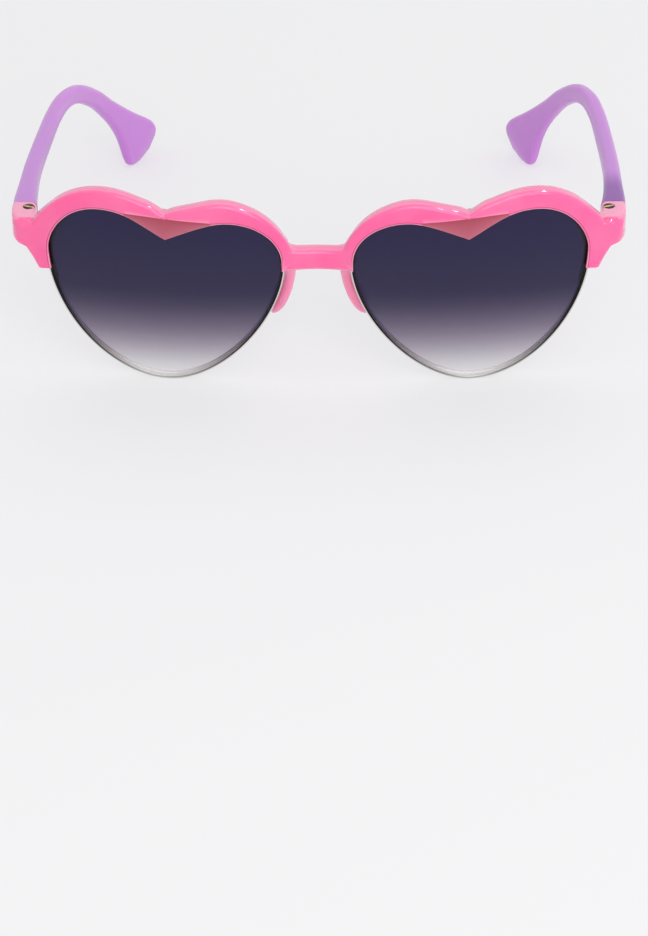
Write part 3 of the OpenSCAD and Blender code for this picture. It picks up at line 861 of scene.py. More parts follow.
def bar_line(form, t):
    top = form.front.bridge_v + form.front.bridge_height
    a, b = form.reach(FAN_START), np.array([0, top])
    turn = np.array([BRIDGE_TURN_SHARE * form.lens_u, top])
    pull = 2 * BRIDGE_TURN_WEIGHT * t * (1 - t)
    return (a * (1 - t) ** 2 + turn * pull + b * t * t) / ((1 - t) ** 2 + pull + t * t)


# The brow's front runs on over the end piece between two places of the outline
SHOULDER_FROM = 1.4
SHOULDER_TO = 2.1
SHOULDER_IN = 0.5 * MM
SHOULDER_UP = 0.5 * MM
SHOULDER_DOWN = 0.4 * MM
SHOULDER_CORNER = 1.6 * MM
SHOULDER_R = 2.4 * MM
SHOULDER_FADE = 2.5 * MM
SHOULDER_TRIES = 181
# How strong the painted highlight on its edges is, and the stretch of the outline before it over
# which that highlight dims
SHOULDER_HIGHLIGHT = 0.35
DIM_FROM = 1.3
DIM_OVER = 0.3


def shoulder(form, q):
    """How far a section runs on over the front of the end piece"""
    h = form.hinge
    low = np.array([form.half - h.width, h.joint_z - h.height - SHOULDER_DOWN])
    high = np.array([form.half - SHOULDER_IN, h.joint_z - SHOULDER_UP])
    middle, half = (low + high) / 2, (high - low) / 2 - SHOULDER_CORNER
    found = 0
    for s in np.linspace(0, h.out, SHOULDER_TRIES):
        p = form.on_front(form.heart(q) + s * form.outward(q), -form.front.lip)
        place = np.array([p[0], form.lean_z(p) + form.shift_z])
        over = np.maximum(np.abs(place - middle) - half, 0)
        if np.linalg.norm(over) <= SHOULDER_CORNER:
            found = s
    return found


def edge_row(form, q):
    """Ends of a section at a place of the outline, its points, and how strong the painted highlight
    on its edges is
    """
    band = form.band(q)
    width = max(band, shoulder(form, q)) if SHOULDER_FROM < q < SHOULDER_TO else band
    past = min(1, (width - band) / SHOULDER_FADE)
    near = min(1, max(0, (q - DIM_FROM) / DIM_OVER)) if q < LUG_TURN else 0
    radius = form.front.edge + (SHOULDER_R - form.front.edge) * past
    p = form.heart(q)
    return (p, p + width * form.outward(q),
            edge_section(form, width, form.band_depth(q), form.bite(q) + FIT_GAP, radius),
            1 + (SHOULDER_HIGHLIGHT - 1) * max(past, near))


# Rows of sections over the lug, from there to a place over the end piece, and on each side
LUG_ROWS = 8
SHOULDER_ROWS = 60
SHOULDER_PLACE = 1.5
SIDE_ROWS = 26


def front_rings(form):
    """Sections of the whole front from end to end, and how strong the painted highlight on the
    edges of each is
    """
    n = SIDE_ROWS
    places = ([LUG_END + (LUG_TURN - LUG_END) * i / LUG_ROWS for i in range(LUG_ROWS)]
              + list(np.linspace(LUG_TURN, SHOULDER_PLACE, SHOULDER_ROWS, endpoint=False))
              + list(np.linspace(SHOULDER_PLACE, 1, n // 2, endpoint=False))
              + [1 - i / n for i in range(n)]
              + [-i / n for i in range(n)]
              + [-1 + (FAN_START + 1) * i / (n - 1) for i in range(n - 1)])
    rows = [edge_row(form, q) for q in places]
    corner = np.array([form.lens_u, form.front.bridge_v])
    for i in range(FAN_ROWS + 1):
        r = i / FAN_ROWS
        a = form.heart(FAN_START + (-2 - FAN_START) * r / FAN_TURN) if r < FAN_TURN else corner
        b = bar_line(form, np.interp(r, *FAN_SHARES))
        width = np.linalg.norm(b - a)
        section = edge_section(form, width, form.front.depth, form.seat, form.front.edge)
        rows.append((a, b, section, 1))
    for i in range(1, BAR_ROWS + 1):
        t = i / BAR_ROWS
        a = np.array([form.lens_u * (1 - t), form.front.bridge_v])
        b = bar_line(form, FAN_SHARES[1][-1] + (1 - FAN_SHARES[1][-1]) * t)
        rows.append((a, b, bar_section(form, np.linalg.norm(b - a)), 1))

    def ring(row, side):
        d = unit(row[1] - row[0])
        points = [form.on_front(row[0] + p[0] * d, p[1]) for p in row[2]]
        return [form.leaned((side * p[0], p[1], p[2])) for p in points]

    others = list(reversed(rows[:-1]))
    rings = [ring(r, 1) for r in rows] + [ring(r, -1) for r in others]
    return rings, [r[3] for r in rows + others]


# Rows of an end piece: depth, inset of the outer side, of the top and of the underside
END_SHARES = ((0, 0.66, 0.2, 0.12), (0.03, 0.56, 0.1, 0), (0.08, 0.45, 0.04, -0.08),
              (0.16, 0.32, 0.01, -0.13), (0.28, 0.18, 0, -0.14), (0.42, 0.08, 0, -0.11),
              (0.6, 0.02, 0, -0.06), (1, 0, 0, 0))
END_KEYS = (0, 0.008, 0.02, 0.035, 0.05, 0.07, 0.1, 0.13, 0.16, 0.22, 0.3, 0.4, 0.55, 0.7, 0.85, 1)
END_R = 1.1 * MM
END_R_SHARE = 0.4


def end_block(form):
    h = form.hinge
    rings = []
    for key in END_KEYS:
        r = curve(END_SHARES, key)
        x1, x0 = form.half - r[1] * h.width, form.half - h.width
        z1, z0 = h.joint_z - r[2] * h.height, h.joint_z - h.height + r[3] * h.height
        centre = np.array([(x0 + x1) / 2, h.joint_y - h.depth + key * h.depth, (z0 + z1) / 2])
        ring = rounded_box(centre, np.array([(x1 - x0) / 2, 0, 0]), np.array([0, 0, (z1 - z0) / 2]),
                           min(END_R, END_R_SHARE * (x1 - x0)))
        rings.append([form.upright(p) for p in ring])
    return skin("end_block", rings)


# Rows of the web between brow and end piece, in millimetres: place sideways, drop of its top
WEB_ROWS = ((-4, 1.6), (-3, 0.9), (-2, 0.45), (-1, 0.2), (0, 0.06), (1, 0.02))
WEB_FRONT = 1.2 * MM
WEB_BACK = 5 * MM
WEB_FOOT = 5 * MM
WEB_R = 0.9 * MM


def end_web(form):
    """Fills the corner between the brow and the top of an end piece"""
    h = form.hinge
    y = h.joint_y - h.depth + (WEB_FRONT + WEB_BACK) / 2
    rings = []
    for x, drop in WEB_ROWS:
        low, high = h.joint_z - WEB_FOOT, h.joint_z - drop * MM
        centre = np.array([form.half - h.width + x * MM, y, (low + high) / 2])
        ring = rounded_box(centre, np.array([0, (WEB_BACK - WEB_FRONT) / 2, 0]),
                           np.array([0, 0, (high - low) / 2]), WEB_R)
        rings.append([form.upright(p) for p in ring])
    return skin("end_web", rings)


# Rows of a nose pad: height, side, depth, thickness and breadth
PAD_SHARES = ((0, 0.82, 0.1, 0.86, 0.5), (0.12, 0.8, 0.25, 0.84, 0.58),
              (0.3, 0.83, 0.5, 0.86, 0.76), (0.5, 0.93, 0.66, 0.95, 0.95),
              (0.68, 1.05, 0.74, 1, 1), (0.82, 1.16, 0.79, 0.95, 0.93),
              (0.93, 1.25, 0.82, 0.72, 0.68), (1, 1.3, 0.84, 0.34, 0.3))
PAD_RISE = 1.6 * MM
PAD_DEPTH = 6 * MM
PAD_YAW = 22
PAD_ROWS = 40


def nose_pad(form):
    f = form.front
    cos, sin = direction(PAD_YAW)
    rings = []
    for i in range(PAD_ROWS + 1):
        key = math.sin(math.pi / 2 * i / PAD_ROWS)
        r = curve(PAD_SHARES, key)
        v = f.bridge_v + PAD_RISE - key * (f.pad_length + PAD_RISE)
        half = np.array((f.pad_thickness / 2 * r[3], f.pad_breadth / 2 * r[4]))
        ring = []
        for degrees in range(0, 360, 10):
            x, y = half * direction(degrees)
            ring.append(form.leaned((r[1] * form.lens_u + x * cos + y * sin,
                                     r[2] * PAD_DEPTH + y * cos - x * sin, v)))
        rings.append(ring)
    return skin("nose_pad", rings)


# How far along the outline the channels run past the lug and past the rim ends
CHANNEL_STEPS = 12
CHANNEL_OVER = 0.05
CHANNEL_PLAY = 0.015
INNER_CHANNEL = 3.9


def channel(form, start, end):
    """Pocket that takes the end of a rim"""
    a = -FIT_GAP - form.rim.lip - POCKET_GAP
    b = form.lens.thickness + FIT_GAP + form.rim.lip + POCKET_GAP
    c = form.rim_out + POCKET_GAP
    profile = ((-OVER, a), (c, a), (c, b), (-OVER, b))
    places = [start + (end - start) * i / CHANNEL_STEPS for i in range(CHANNEL_STEPS + 1)]
    return skin("channel", [[form.leaned(form.strip_point(q, s, w)) for s, w in profile]
                            for q in places])


def front_cuts(form):
    h, rim, depth, screw = form.hinge, form.rim, form.front.depth, form.screw
    cuts = [channel(form, LUG_END + CHANNEL_OVER, RIM_FROM - CHANNEL_PLAY),
            channel(form, INNER_CHANNEL, RIM_TO + CHANNEL_PLAY)]
    for q in (OUTER_EYELET, INNER_EYELET):
        matrix = form.eyelet(q)
        cuts.append(rod("pocket", rim.eyelet + POCKET_GAP, rim.eyelet_depth - SLIDE_GAP,
                        depth + OVER, matrix))
        cuts.append(rod("bore", rim.screw / 2 + TIGHT_GAP, -screw.rim_bite - TIGHT_GAP,
                        depth, matrix, BORE_SIDES))
    x, y, over, under = form.pin_x, form.pin_y, h.joint_z + OVER, h.joint_z - 2 * h.height
    tongue_z = h.joint_z - h.ear - SLIDE_GAP - h.tongue
    left = form.half - h.width - OVER
    cuts.append(block("slot", form.upright((left, y - h.tongue_radius - 2 * SLIDE_GAP,
                                            tongue_z - SLIDE_GAP)),
                      form.upright((form.half - h.wall, h.joint_y + OVER,
                                    tongue_z + h.tongue + SLIDE_GAP))))
    cuts.append(upright_rod(form, "pin", h.pin / 2 + TIGHT_GAP, under, over))
    cuts.append(upright_rod(form, "head", screw.hinge_head + SLIDE_GAP,
                            h.joint_z - screw.hinge_head_height, over))
    relief = block("relief", form.upright((left, y, h.joint_z - h.height - OVER)),
                   form.upright((x, y + h.pin_back + OVER, over)))
    knuckle = upright_rod(form, "knuckle", h.pin_back, under, over + OVER, KNUCKLE_SIDES)
    cuts.append(combine(relief, [knuckle], "DIFFERENCE"))
    return cuts


# How far from an edge the painted highlight reaches, how strong the painted light through the nose
# pads is, and how strong the painted highlight on the end pieces' tops is
HIGHLIGHT_REACH = 0.8 * MM
PAD_HIGHLIGHT = 0.45
TOP_HIGHLIGHT = 0.9
TOP_HIGHLIGHT_FADE = 1.2 * MM


def paint_edge_highlights(form, piece, rings, shares):
    """Marks the thin edges, the nose pads and the end pieces' tops with a painted highlight, and
    the plastic over the lens, which looks darker
    """
    n = len(rings[0])
    tree = KDTree(len(rings) * n)
    for i, ring in enumerate(rings):
        for j, p in enumerate(ring):
            tree.insert(p, i * n + j)
    tree.balance()
    bar = (len(rings) - 2 * BAR_ROWS) // 2
    wide = [(Vector(r[LIP_COUNT]) - Vector(r[LIP_COUNT - 1])).length > INNER_R for r in rings]
    h = form.hinge
    pale, veil = [], []
    for vertex in piece.data.vertices:
        x, y, z = vertex.co
        index, distance = tree.find(vertex.co)[1:]
        i, j = divmod(index, n)
        on_bar = bar <= i < len(rings) - bar
        special = BAR_HIGHLIGHT if on_bar else NOTCH_HIGHLIGHT if wide[i] else ()
        paint = special if j < len(special) else EDGE_HIGHLIGHT
        near = max(0, 1 - distance / HIGHLIGHT_REACH) * paint[j] * shares[i]
        on_pad = abs(x) < 2 * form.lens_u and z < form.front.bridge_v
        on_top = abs(x) > form.half - h.width - MM and y > form.shift_y
        rise = min(1, max(0, (z - h.joint_z) / TOP_HIGHLIGHT_FADE + 1))
        pale.append(max(near, PAD_HIGHLIGHT if on_pad else 0, TOP_HIGHLIGHT * rise if on_top else 0))
        over_lens = VEIL[j] if wide[i] or j >= LIP_COUNT else LIP_VEIL[j]
        veil.append(0 if on_bar or distance > VEIL_EDGE else over_lens)
    # The edge mark holds the painted highlight
    mark(piece, "edge", pale)
    mark(piece, "veil", veil)


class SUNGLASSES_OT_front(bpy.types.Operator):
    """Pink front moulding with end pieces, nose pads and all its pockets"""
    bl_idname = "sunglasses.front"
    bl_label = "Front moulding"

    def execute(self, context):
        form = Form(context.scene)
        rings, shares = front_rings(form)
        piece = skin("front_moulding", rings)
        for left in (end_block(form), end_web(form), nose_pad(form)):
            combine(piece, [mirrored(left), left], "UNION")
        cuts = front_cuts(form)
        combine(piece, [mirrored(c) for c in cuts] + cuts, "DIFFERENCE")
        paint_edge_highlights(form, piece, rings, shares)
        smooth(piece, angle=32)
        dress(piece, painted(pink_plastic), "front", "front_pink", "front_frame")
        return {"FINISHED"}


# Lenses
def dome_tree():
    """Bends a flat sheet of two layers onto the sphere of the lens and leans it"""
    tree, given = geometry_tree(
        "lens_dome", Float=("Base radius", "Centre u", "Centre v", "Thickness", "Rim sag", "Lean"),
        Vector=("Place",), Material=("Tint",))
    plus, minus, times, power = sums(tree, "ADD", "SUBTRACT", "MULTIPLY", "POWER")
    flat = split(tree, out_of(tree, "GeometryNodeInputPosition"))
    u, v = minus(flat["X"], given["Centre u"]), minus(flat["Z"], given["Centre v"])
    radius = given["Base radius"]
    rest = minus(times(radius, radius), plus(times(u, u), times(v, v)))
    sag = minus(minus(radius, power(rest, 0.5)), given["Rim sag"])
    layer = times(attribute_of(tree, "layer"), given["Thickness"])
    domed = out_of(tree, "GeometryNodeSetPosition", {
        "Geometry": given["Geometry"],
        "Position": axes(tree, flat["X"], plus(sag, layer), flat["Z"])})
    leaned = out_of(tree, "GeometryNodeTransform", {
        "Geometry": domed, "Translation": given["Place"], "Rotation": axes(tree, given["Lean"])})
    close_tree(tree, leaned, (given["Tint"], True))
    return tree


LENS_STEPS = 44
LENS_ROWS = 16
LENS_MIDDLE = (0.5, 0.6)
CHAMFER_SHARE = 0.08
# Width of the painted shadow line along the lens edge: at the top, more at the outer side, less by
# the rim
SHADOW_LINE_TOP = 0.8 * MM
SHADOW_LINE_SIDE = 1.5 * MM
SHADOW_LINE_RIM = 0.25 * MM
WIDE_PLACE = 1.9
WIDE_SPREAD = 0.6
RIM_PLACES = (2.2, 4)
# Rings of the sheet by the edge, in millimetres inside the seen outline
LINE_ROWS = (-0.15, 0, 0.08, 0.16, 0.25, 0.4, 0.6, 0.85, 1.15, 1.6)
EDGE_ROW = 0.12 * MM


def shadow_line_width(q):
    if RIM_PLACES[0] < q < RIM_PLACES[1]:
        return SHADOW_LINE_RIM
    return SHADOW_LINE_TOP + (SHADOW_LINE_SIDE - SHADOW_LINE_TOP) * max(0, 1 - abs(q - WIDE_PLACE) / WIDE_SPREAD)


def lens_sheet(form, name):
    """Flat sheet of two layers whose rings shrink from the lens edge to a middle point"""
    places = [i / LENS_STEPS for i in range(6 * LENS_STEPS)]
    middle = form.on_lens(*LENS_MIDDLE)
    outline = [form.heart(q) + form.bite(q) * form.outward(q) for q in places]
    spans = [np.linalg.norm(p - middle) for p in outline]
    hidden = [np.linalg.norm(form.heart(q) - p) for q, p in zip(places, outline)]

    def shrunk(ring, steps):
        return [middle + (p - middle) * (1 - step) for p, step in zip(ring, steps)]

    layout = [outline, shrunk(outline, [EDGE_ROW / r for r in spans])]
    for d in LINE_ROWS:
        layout.append(shrunk(outline, [(h + d * MM) / r for r, h in zip(spans, hidden)]))
    last = layout[-1]
    layout += [shrunk(last, [i / LENS_ROWS] * len(last)) for i in range(1, LENS_ROWS)]
    n, count = len(places), len(layout)
    points, edges, layers, faces = [], [], [], []
    # The front layer and the back layer, whose faces turn the other way
    for start, inner in ((0, 1), (1, -1)):
        base = len(points)
        for k, ring in enumerate(layout):
            for j, p in enumerate(ring):
                points.append((p[0], 0, p[1]))
                inside = np.linalg.norm(p - outline[j]) - hidden[j]
                # How strong the painted shadow line along the lens edge is at this point
                edges.append(1 - min(1, max(0, inside / shadow_line_width(places[j]))))
                layers.append(start + inner * (CHAMFER_SHARE if k == 0 else 0))
        centre = len(points)
        points.append((middle[0], 0, middle[1]))
        edges.append(0)
        layers.append(start)
        sheet = []
        for j in range(n):
            k = (j + 1) % n
            sheet += [(a + j, a + k, a + n + k, a + n + j)
                      for a in range(base, base + (count - 1) * n, n)]
            sheet.append((centre - n + j, centre - n + k, centre))
        faces += [face[::inner] for face in sheet]
    back = count * n + 1
    faces += [(j, back + j, back + (j + 1) % n, (j + 1) % n) for j in range(n)]
    piece = mesh_object(name, points, faces)
    # The edge mark holds the painted shadow line
    mark(piece, "edge", edges)
    mark(piece, "layer", layers)
    return piece


class SUNGLASSES_OT_lenses(bpy.types.Operator):
    """Two tinted lenses that fade from dark to clear"""
    bl_idname = "sunglasses.lenses"
    bl_label = "Lenses"

    def execute(self, context):
        form = Form(context.scene)
        material = painted(tinted_lens)
        left = grown(lens_sheet(form, "tinted_lens_left"), dome_tree(), {
            "Base radius": form.lens.base_radius, "Centre u": form.lens.wrap_u,
            "Centre v": form.wrap_v, "Thickness": form.lens.thickness, "Rim sag": form.sag_tip,
            "Lean": form.front.lean, "Place": (0, form.shift_y, form.shift_z), "Tint": material})
        smooth(outward_faces(left), angle=25)
        dress_pair(left, material, "front", "lens_tint", "lens_{}")
        return {"FINISHED"}


# Lower rims
LIP_START_SHARE = 0.1
LIP_SPLIT = 0.02 * MM
GROOVE_CORNERS = (1, 4)
LIP_CORNERS = 2


def rim_tree():
    """Sweeps the U section of a rim along a path that stores its outward direction"""
    tree, given = geometry_tree(
        "rim_strip", Float=("Seat", "Wall", "Lip", "Thickness", "Gap", "Softness", "Line"),
        Material=("Metal",))
    plus, minus, times, less, more, most = sums(
        tree, "ADD", "SUBTRACT", "MULTIPLY", "LESS_THAN", "GREATER_THAN", "MAXIMUM")
    seat, soft, line = given["Seat"], given["Softness"], given["Line"]
    out = plus(seat, given["Wall"])
    lip = times(seat, LIP_START_SHARE)
    groove_front, groove_back = minus(0, given["Gap"]), plus(given["Thickness"], given["Gap"])
    front, back = minus(groove_front, given["Lip"]), plus(groove_back, given["Lip"])
    middle = times(plus(front, back), 0.5)
    front_in, back_in, out_in = plus(front, soft), minus(back, soft), minus(out, soft)
    wide = times(line, 2)
    corners = ((lip, front_in), (lip, groove_front), (seat, groove_front), (seat, groove_back),
               (0, groove_back), (0, back_in), (soft, back), (out_in, back), (out, back_in),
               (out, plus(middle, wide)), (minus(out, line), middle), (out, minus(middle, wide)),
               (out, front_in), (out_in, front), (seat, front), (minus(seat, LIP_SPLIT), front),
               (plus(lip, soft), front))
    index = out_of(tree, "GeometryNodeInputIndex")
    pick = node(tree, "GeometryNodeIndexSwitch", {"Index": index}, data_type="VECTOR")
    while len(pick.index_switch_items) < len(corners):
        pick.index_switch_items.new()
    set_inputs(tree, pick, {i + 1: axes(tree, s, w) for i, (s, w) in enumerate(corners)})
    row = out_of(tree, "GeometryNodeMeshLine", {"Count": len(corners)})
    shaped = out_of(tree, "GeometryNodeSetPosition", {
        "Geometry": row, "Position": pick.outputs["Output"]})
    low, high = GROOVE_CORNERS
    on_lip = most(less(index, 0.5), more(index, len(corners) - LIP_CORNERS - 0.5))
    in_groove = times(more(index, low - 0.5), less(index, high + 0.5))
    shaped = store(tree, store(tree, shaped, "lip", on_lip), "groove", in_groove)
    section = out_of(tree, "GeometryNodeSetSplineCyclic", {
        "Geometry": out_of(tree, "GeometryNodeMeshToCurve", {"Mesh": shaped}), "Cyclic": True})
    path = out_of(tree, "GeometryNodeSetCurveNormal", {
        "Curve": out_of(tree, "GeometryNodeMeshToCurve", {"Mesh": given["Geometry"]}),
        "Normal": attribute_of(tree, "out", "FLOAT_VECTOR")}, mode="FREE")
    strip = out_of(tree, "GeometryNodeCurveToMesh", {
        "Curve": path, "Profile Curve": section, "Fill Caps": True})
    close_tree(tree, strip, (given["Metal"], True))
    return tree


RIM_STEPS = 240
RIM_SOFT = 0.08 * MM
RIM_LINE = 0.08 * MM


def rim_piece(form, material):
    rim = form.rim
    places = np.linspace(RIM_TO, RIM_FROM, RIM_STEPS)
    points = [form.leaned(form.strip_point(q, 0, 0)) for q in places]
    cos, sin = math.cos(form.front.lean), math.sin(form.front.lean)
    ways = [form.outward(q) for q in places]
    piece = mesh_object("lower_rim_bright_left", points, [])
    piece.data.edges.add(RIM_STEPS - 1)
    piece.data.edges.foreach_set("vertices", [i + j for i in range(RIM_STEPS - 1) for j in (0, 1)])
    mark(piece, "out", [(d[0], -d[1] * sin, d[1] * cos) for d in ways], "FLOAT_VECTOR")
    grown(piece, rim_tree(), {
        "Seat": form.seat, "Wall": rim.wall, "Lip": rim.lip, "Thickness": form.lens.thickness,
        "Gap": FIT_GAP, "Softness": RIM_SOFT, "Line": RIM_LINE, "Metal": material})
    outward_faces(piece)
    ends = [form.eyelet(q) for q in (OUTER_EYELET, INNER_EYELET)]
    far = rim.eyelet_depth + rim.eyelet_thickness
    combine(piece, [rod("eyelet", rim.eyelet, rim.eyelet_depth, far, end) for end in ends],
            "UNION")
    combine(piece, [rod("bore", rim.screw / 2 + TIGHT_GAP, 0, form.front.depth, end, BORE_SIDES)
                    for end in ends], "DIFFERENCE")
    return smooth(piece)


class SUNGLASSES_OT_rims(bpy.types.Operator):
    """Bright metal strips round the lower edges of the lenses"""
    bl_idname = "sunglasses.rims"
    bl_label = "Lower rims"

    def execute(self, context):
        material = painted(bright_steel)
        left = rim_piece(Form(context.scene), material)
        dress_pair(left, material, "front", "rim_metal", "lower_rim_{}")
        return {"FINISHED"}


# Screws
BEVEL_SHARE = 0.25
SCREW_SIDES = 48
RIM_SCREW_TURN = 35
HINGE_SCREW_TURN = 20


def boolean_node(tree, operation, first, second):
    made = node(tree, "GeometryNodeMeshBoolean", operation=operation, solver="MANIFOLD")
    tree.links.new(first, made.inputs["Mesh 1" if operation == "DIFFERENCE" else "Mesh 2"])
    tree.links.new(second, made.inputs["Mesh 2"])
    return made.outputs["Mesh"]


def screw_tree():
    """Puts a slotted screw, head up, on each point; the point stores the screw's turn"""
    tree, given = geometry_tree(
        "slotted_screws", Int=("Sides",), Material=("Metal", "Slot metal"),
        Float=("Head radius", "Head height", "Shank radius", "Shank length", "Slot width",
               "Slot depth"))
    plus, minus, times, less, more, size = sums(
        tree, "ADD", "SUBTRACT", "MULTIPLY", "LESS_THAN", "GREATER_THAN", "ABSOLUTE")
    head, height, width = given["Head radius"], given["Head height"], given["Slot width"]
    shank, down = given["Shank radius"], given["Shank length"]
    bevel = times(height, BEVEL_SHARE)
    straight = minus(height, bevel)

    def raised(geometry, z):
        return out_of(tree, "GeometryNodeTransform", {
            "Geometry": geometry, "Translation": axes(tree, z=z)})

    def turned(bottom, top, depth, low):
        return raised(out_of(tree, "GeometryNodeMeshCone", {
            "Vertices": given["Sides"], "Radius Top": top, "Radius Bottom": bottom,
            "Depth": depth}), low)

    body = turned(head, head, straight, 0)
    for other in (turned(head, minus(head, bevel), bevel, straight),
                  turned(shank, shank, plus(down, bevel), minus(0, down))):
        body = boolean_node(tree, "UNION", body, other)
    floor_z = minus(height, given["Slot depth"])
    cutter = out_of(tree, "GeometryNodeMeshCube", {
        "Size": axes(tree, times(head, 4), width, height)})
    cutter = raised(cutter, plus(floor_z, times(height, 0.5)))
    body = boolean_node(tree, "DIFFERENCE", body, cutter)
    at = split(tree, out_of(tree, "GeometryNodeInputPosition"))
    cut = times(less(size(at["Y"]), times(width, 0.51)), more(at["Z"], times(floor_z, 0.99)))
    placed = out_of(tree, "GeometryNodeInstanceOnPoints", {
        "Points": given["Geometry"], "Instance": store(tree, body, "slot", cut, "FACE"),
        "Rotation": attribute_of(tree, "turn", "FLOAT_VECTOR")})
    close_tree(tree, placed, (given["Metal"], True),
               (given["Slot metal"], more(attribute_of(tree, "slot"), 0.5)))
    return tree


def screws(name, points, turns, tree, sizes, screw, metals):
    piece = mesh_object(name, points, [])
    mark(piece, "turn", turns, "FLOAT_VECTOR")
    values = dict(zip(("Head radius", "Head height", "Shank radius", "Shank length", "Slot width"),
                      sizes))
    values.update({"Slot depth": screw.slot_depth, "Sides": SCREW_SIDES, "Metal": metals[0],
                   "Slot metal": metals[1]})
    return smooth(outward_faces(grown(piece, tree, values)))


class SUNGLASSES_OT_screws(bpy.types.Operator):
    """Four rim screws and two hinge screws with their slots"""
    bl_idname = "sunglasses.screws"
    bl_label = "Screws"

    def execute(self, context):
        form = Form(context.scene)
        rim, hinge, screw = form.rim, form.hinge, form.screw
        tree = screw_tree()
        dark, bright, steel = painted(dark_screw_and_slot_shade), painted(brass_slot_glint), painted(bright_steel)
        seat = rim.eyelet_depth + rim.eyelet_thickness
        left = [form.eyelet(q) @ Vector((0, seat, 0)) for q in (OUTER_EYELET, INNER_EYELET)]
        points = left + [Vector((-p.x, p.y, p.z)) for p in left]
        tilt = form.front.lean - math.pi / 2
        turn = math.radians(RIM_SCREW_TURN)
        sizes = (screw.rim_head, screw.rim_head_height, rim.screw / 2, seat + screw.rim_bite,
                 screw.rim_slot)
        # Rim screws: steel, with painted shade in their slots
        piece = screws("rim_screws", points, [(tilt, 0, turn * k) for k in (1, 2, -1, -2)], tree,
                       sizes, screw, (steel, dark))
        ready(piece, "front", "screw_steel", "rim_screw_outer_right", "rim_screw_outer_left",
              "rim_screw_inner_right", "rim_screw_inner_left")
        top = hinge.joint_z - screw.hinge_head_height
        x, y, z = form.upright((form.pin_x, form.pin_y, top))
        turn = math.radians(HINGE_SCREW_TURN)
        sizes = (screw.hinge_head, screw.hinge_head_height, hinge.pin / 2,
                 hinge.height - INNER_R - screw.hinge_head_height, screw.hinge_slot)
        # Hinge screws: dark heads, with a painted brass glint in their slots
        piece = screws("hinge_screws", [(x, y, z), (-x, y, z)], [(0, 0, turn), (0, 0, -turn)], tree,
                       sizes, screw, (dark, bright))
        ready(piece, "front", "hinge_brass", "hinge_screw_right", "hinge_screw_left")
        return {"FINISHED"}


# Temples
# Rows of a temple: key, rear edge y z x, front edge y z x, and thickness
TEMPLE_SHARES = (
    (0, 0, 1, 0.118, 0, 0.854, 0.118, 1.553),
    (0.04, 0.04, 0.993, 0.106, 0.04, 0.852, 0.106, 1.4),
    (0.11, 0.11, 0.976, 0.098, 0.11, 0.84, 0.098, 1.18),
    (0.23, 0.23, 0.947, 0.096, 0.23, 0.82, 0.096, 1.01),
    (0.41, 0.41, 0.896, 0.132, 0.41, 0.787, 0.132, 1),
    (0.55, 0.553, 0.861, 0.178, 0.548, 0.764, 0.178, 0.99),
    (0.645, 0.648, 0.833, 0.235, 0.639, 0.737, 0.25, 0.97),
    (0.725, 0.732, 0.773, 0.345, 0.712, 0.677, 0.337, 0.94),
    (0.805, 0.81, 0.64, 0.495, 0.783, 0.557, 0.452, 0.9),
    (0.865, 0.86, 0.512, 0.62, 0.831, 0.428, 0.545, 0.86),
    (0.91, 0.901, 0.41, 0.73, 0.861, 0.32, 0.62, 0.82),
    (0.945, 0.94, 0.318, 0.84, 0.882, 0.215, 0.675, 0.79),
    (0.97, 0.974, 0.245, 0.93, 0.894, 0.118, 0.71, 0.77),
    (0.985, 0.993, 0.19, 0.985, 0.9, 0.05, 0.735, 0.72),
    (0.994, 1, 0.128, 1, 0.908, 0.012, 0.765, 0.6),
    (1, 0.978, 0.045, 0.945, 0.937, 0.001, 0.83, 0.4))
EDGE_SHARE = 0.45
TEMPLE_KEYS = (*np.linspace(0, 0.96, 120), *np.linspace(0.96, 1, 31)[1:])


def temple_piece(form):
    h, temple = form.hinge, form.temple
    front = h.joint_y + BUTT_GAP
    pairs = []
    for key in TEMPLE_KEYS:
        r = curve(TEMPLE_SHARES, key)
        ends = [np.array([form.half - r[j + 2] * temple.inward, front + r[j] * temple.run,
                          r[j + 1] * h.joint_z]) for j in (1, 4)]
        pairs.append((*ends, r[7] * temple.thickness))
    mids = [(a + b) / 2 for a, b, t in pairs]
    rings = []
    for i, (a, b, t) in enumerate(pairs):
        run = np.array([0, 1, 0]) if i == 0 else mids[min(i + 1, len(mids) - 1)] - mids[i - 1]
        half = (a - b) / 2
        across = unit(np.cross(run, half)) * t / 2
        ring = rounded_box(mids[i], across, -half, min(temple.edge, EDGE_SHARE * t), steps=8)
        rings.append([form.upright(p) for p in ring])
    piece = skin("folding_temple_left", rings)
    x, y = form.pin_x, form.pin_y
    low = h.joint_z - h.ear - SLIDE_GAP - h.tongue
    high = low + h.tongue
    tongue = upright_rod(form, "tongue", h.tongue_radius, low, high)
    shank = block("shank", form.upright((x - h.tongue_radius, y, low)),
                  form.upright((x + h.tongue_radius, front + OVER, high)))
    combine(piece, [tongue, shank], "UNION")
    bore = upright_rod(form, "bore", h.pin / 2 + TURN_GAP, low - OVER, high + OVER)
    combine(piece, [bore], "DIFFERENCE")
    return smooth(piece)


class SUNGLASSES_OT_temples(bpy.types.Operator):
    """Purple temples with the tongues that turn in the front"""
    bl_idname = "sunglasses.temples"
    bl_label = "Temples"

    def execute(self, context):
        left = temple_piece(Form(context.scene))
        dress_pair(left, painted(purple_plastic), "temple_{}", "temple_purple", "temple_{}")
        return {"FINISHED"}


# Studio
FLOOR_HALF = 4
PAPER = (0.88, 0.88, 0.885)
PAPER_SHARE = 0.45
AIM = Vector((0, 0, 20 * MM))
KEY_PLACE = (0.75, -0.6, 1.35)
KEY_SIZE = 0.22
FILL_PLACE = (0.4, -2.0, 0.9)
FILL_SIZE = 2.0
VIEW_CENTRE = Vector((0, 0, 25 * MM))
SENSOR = 36


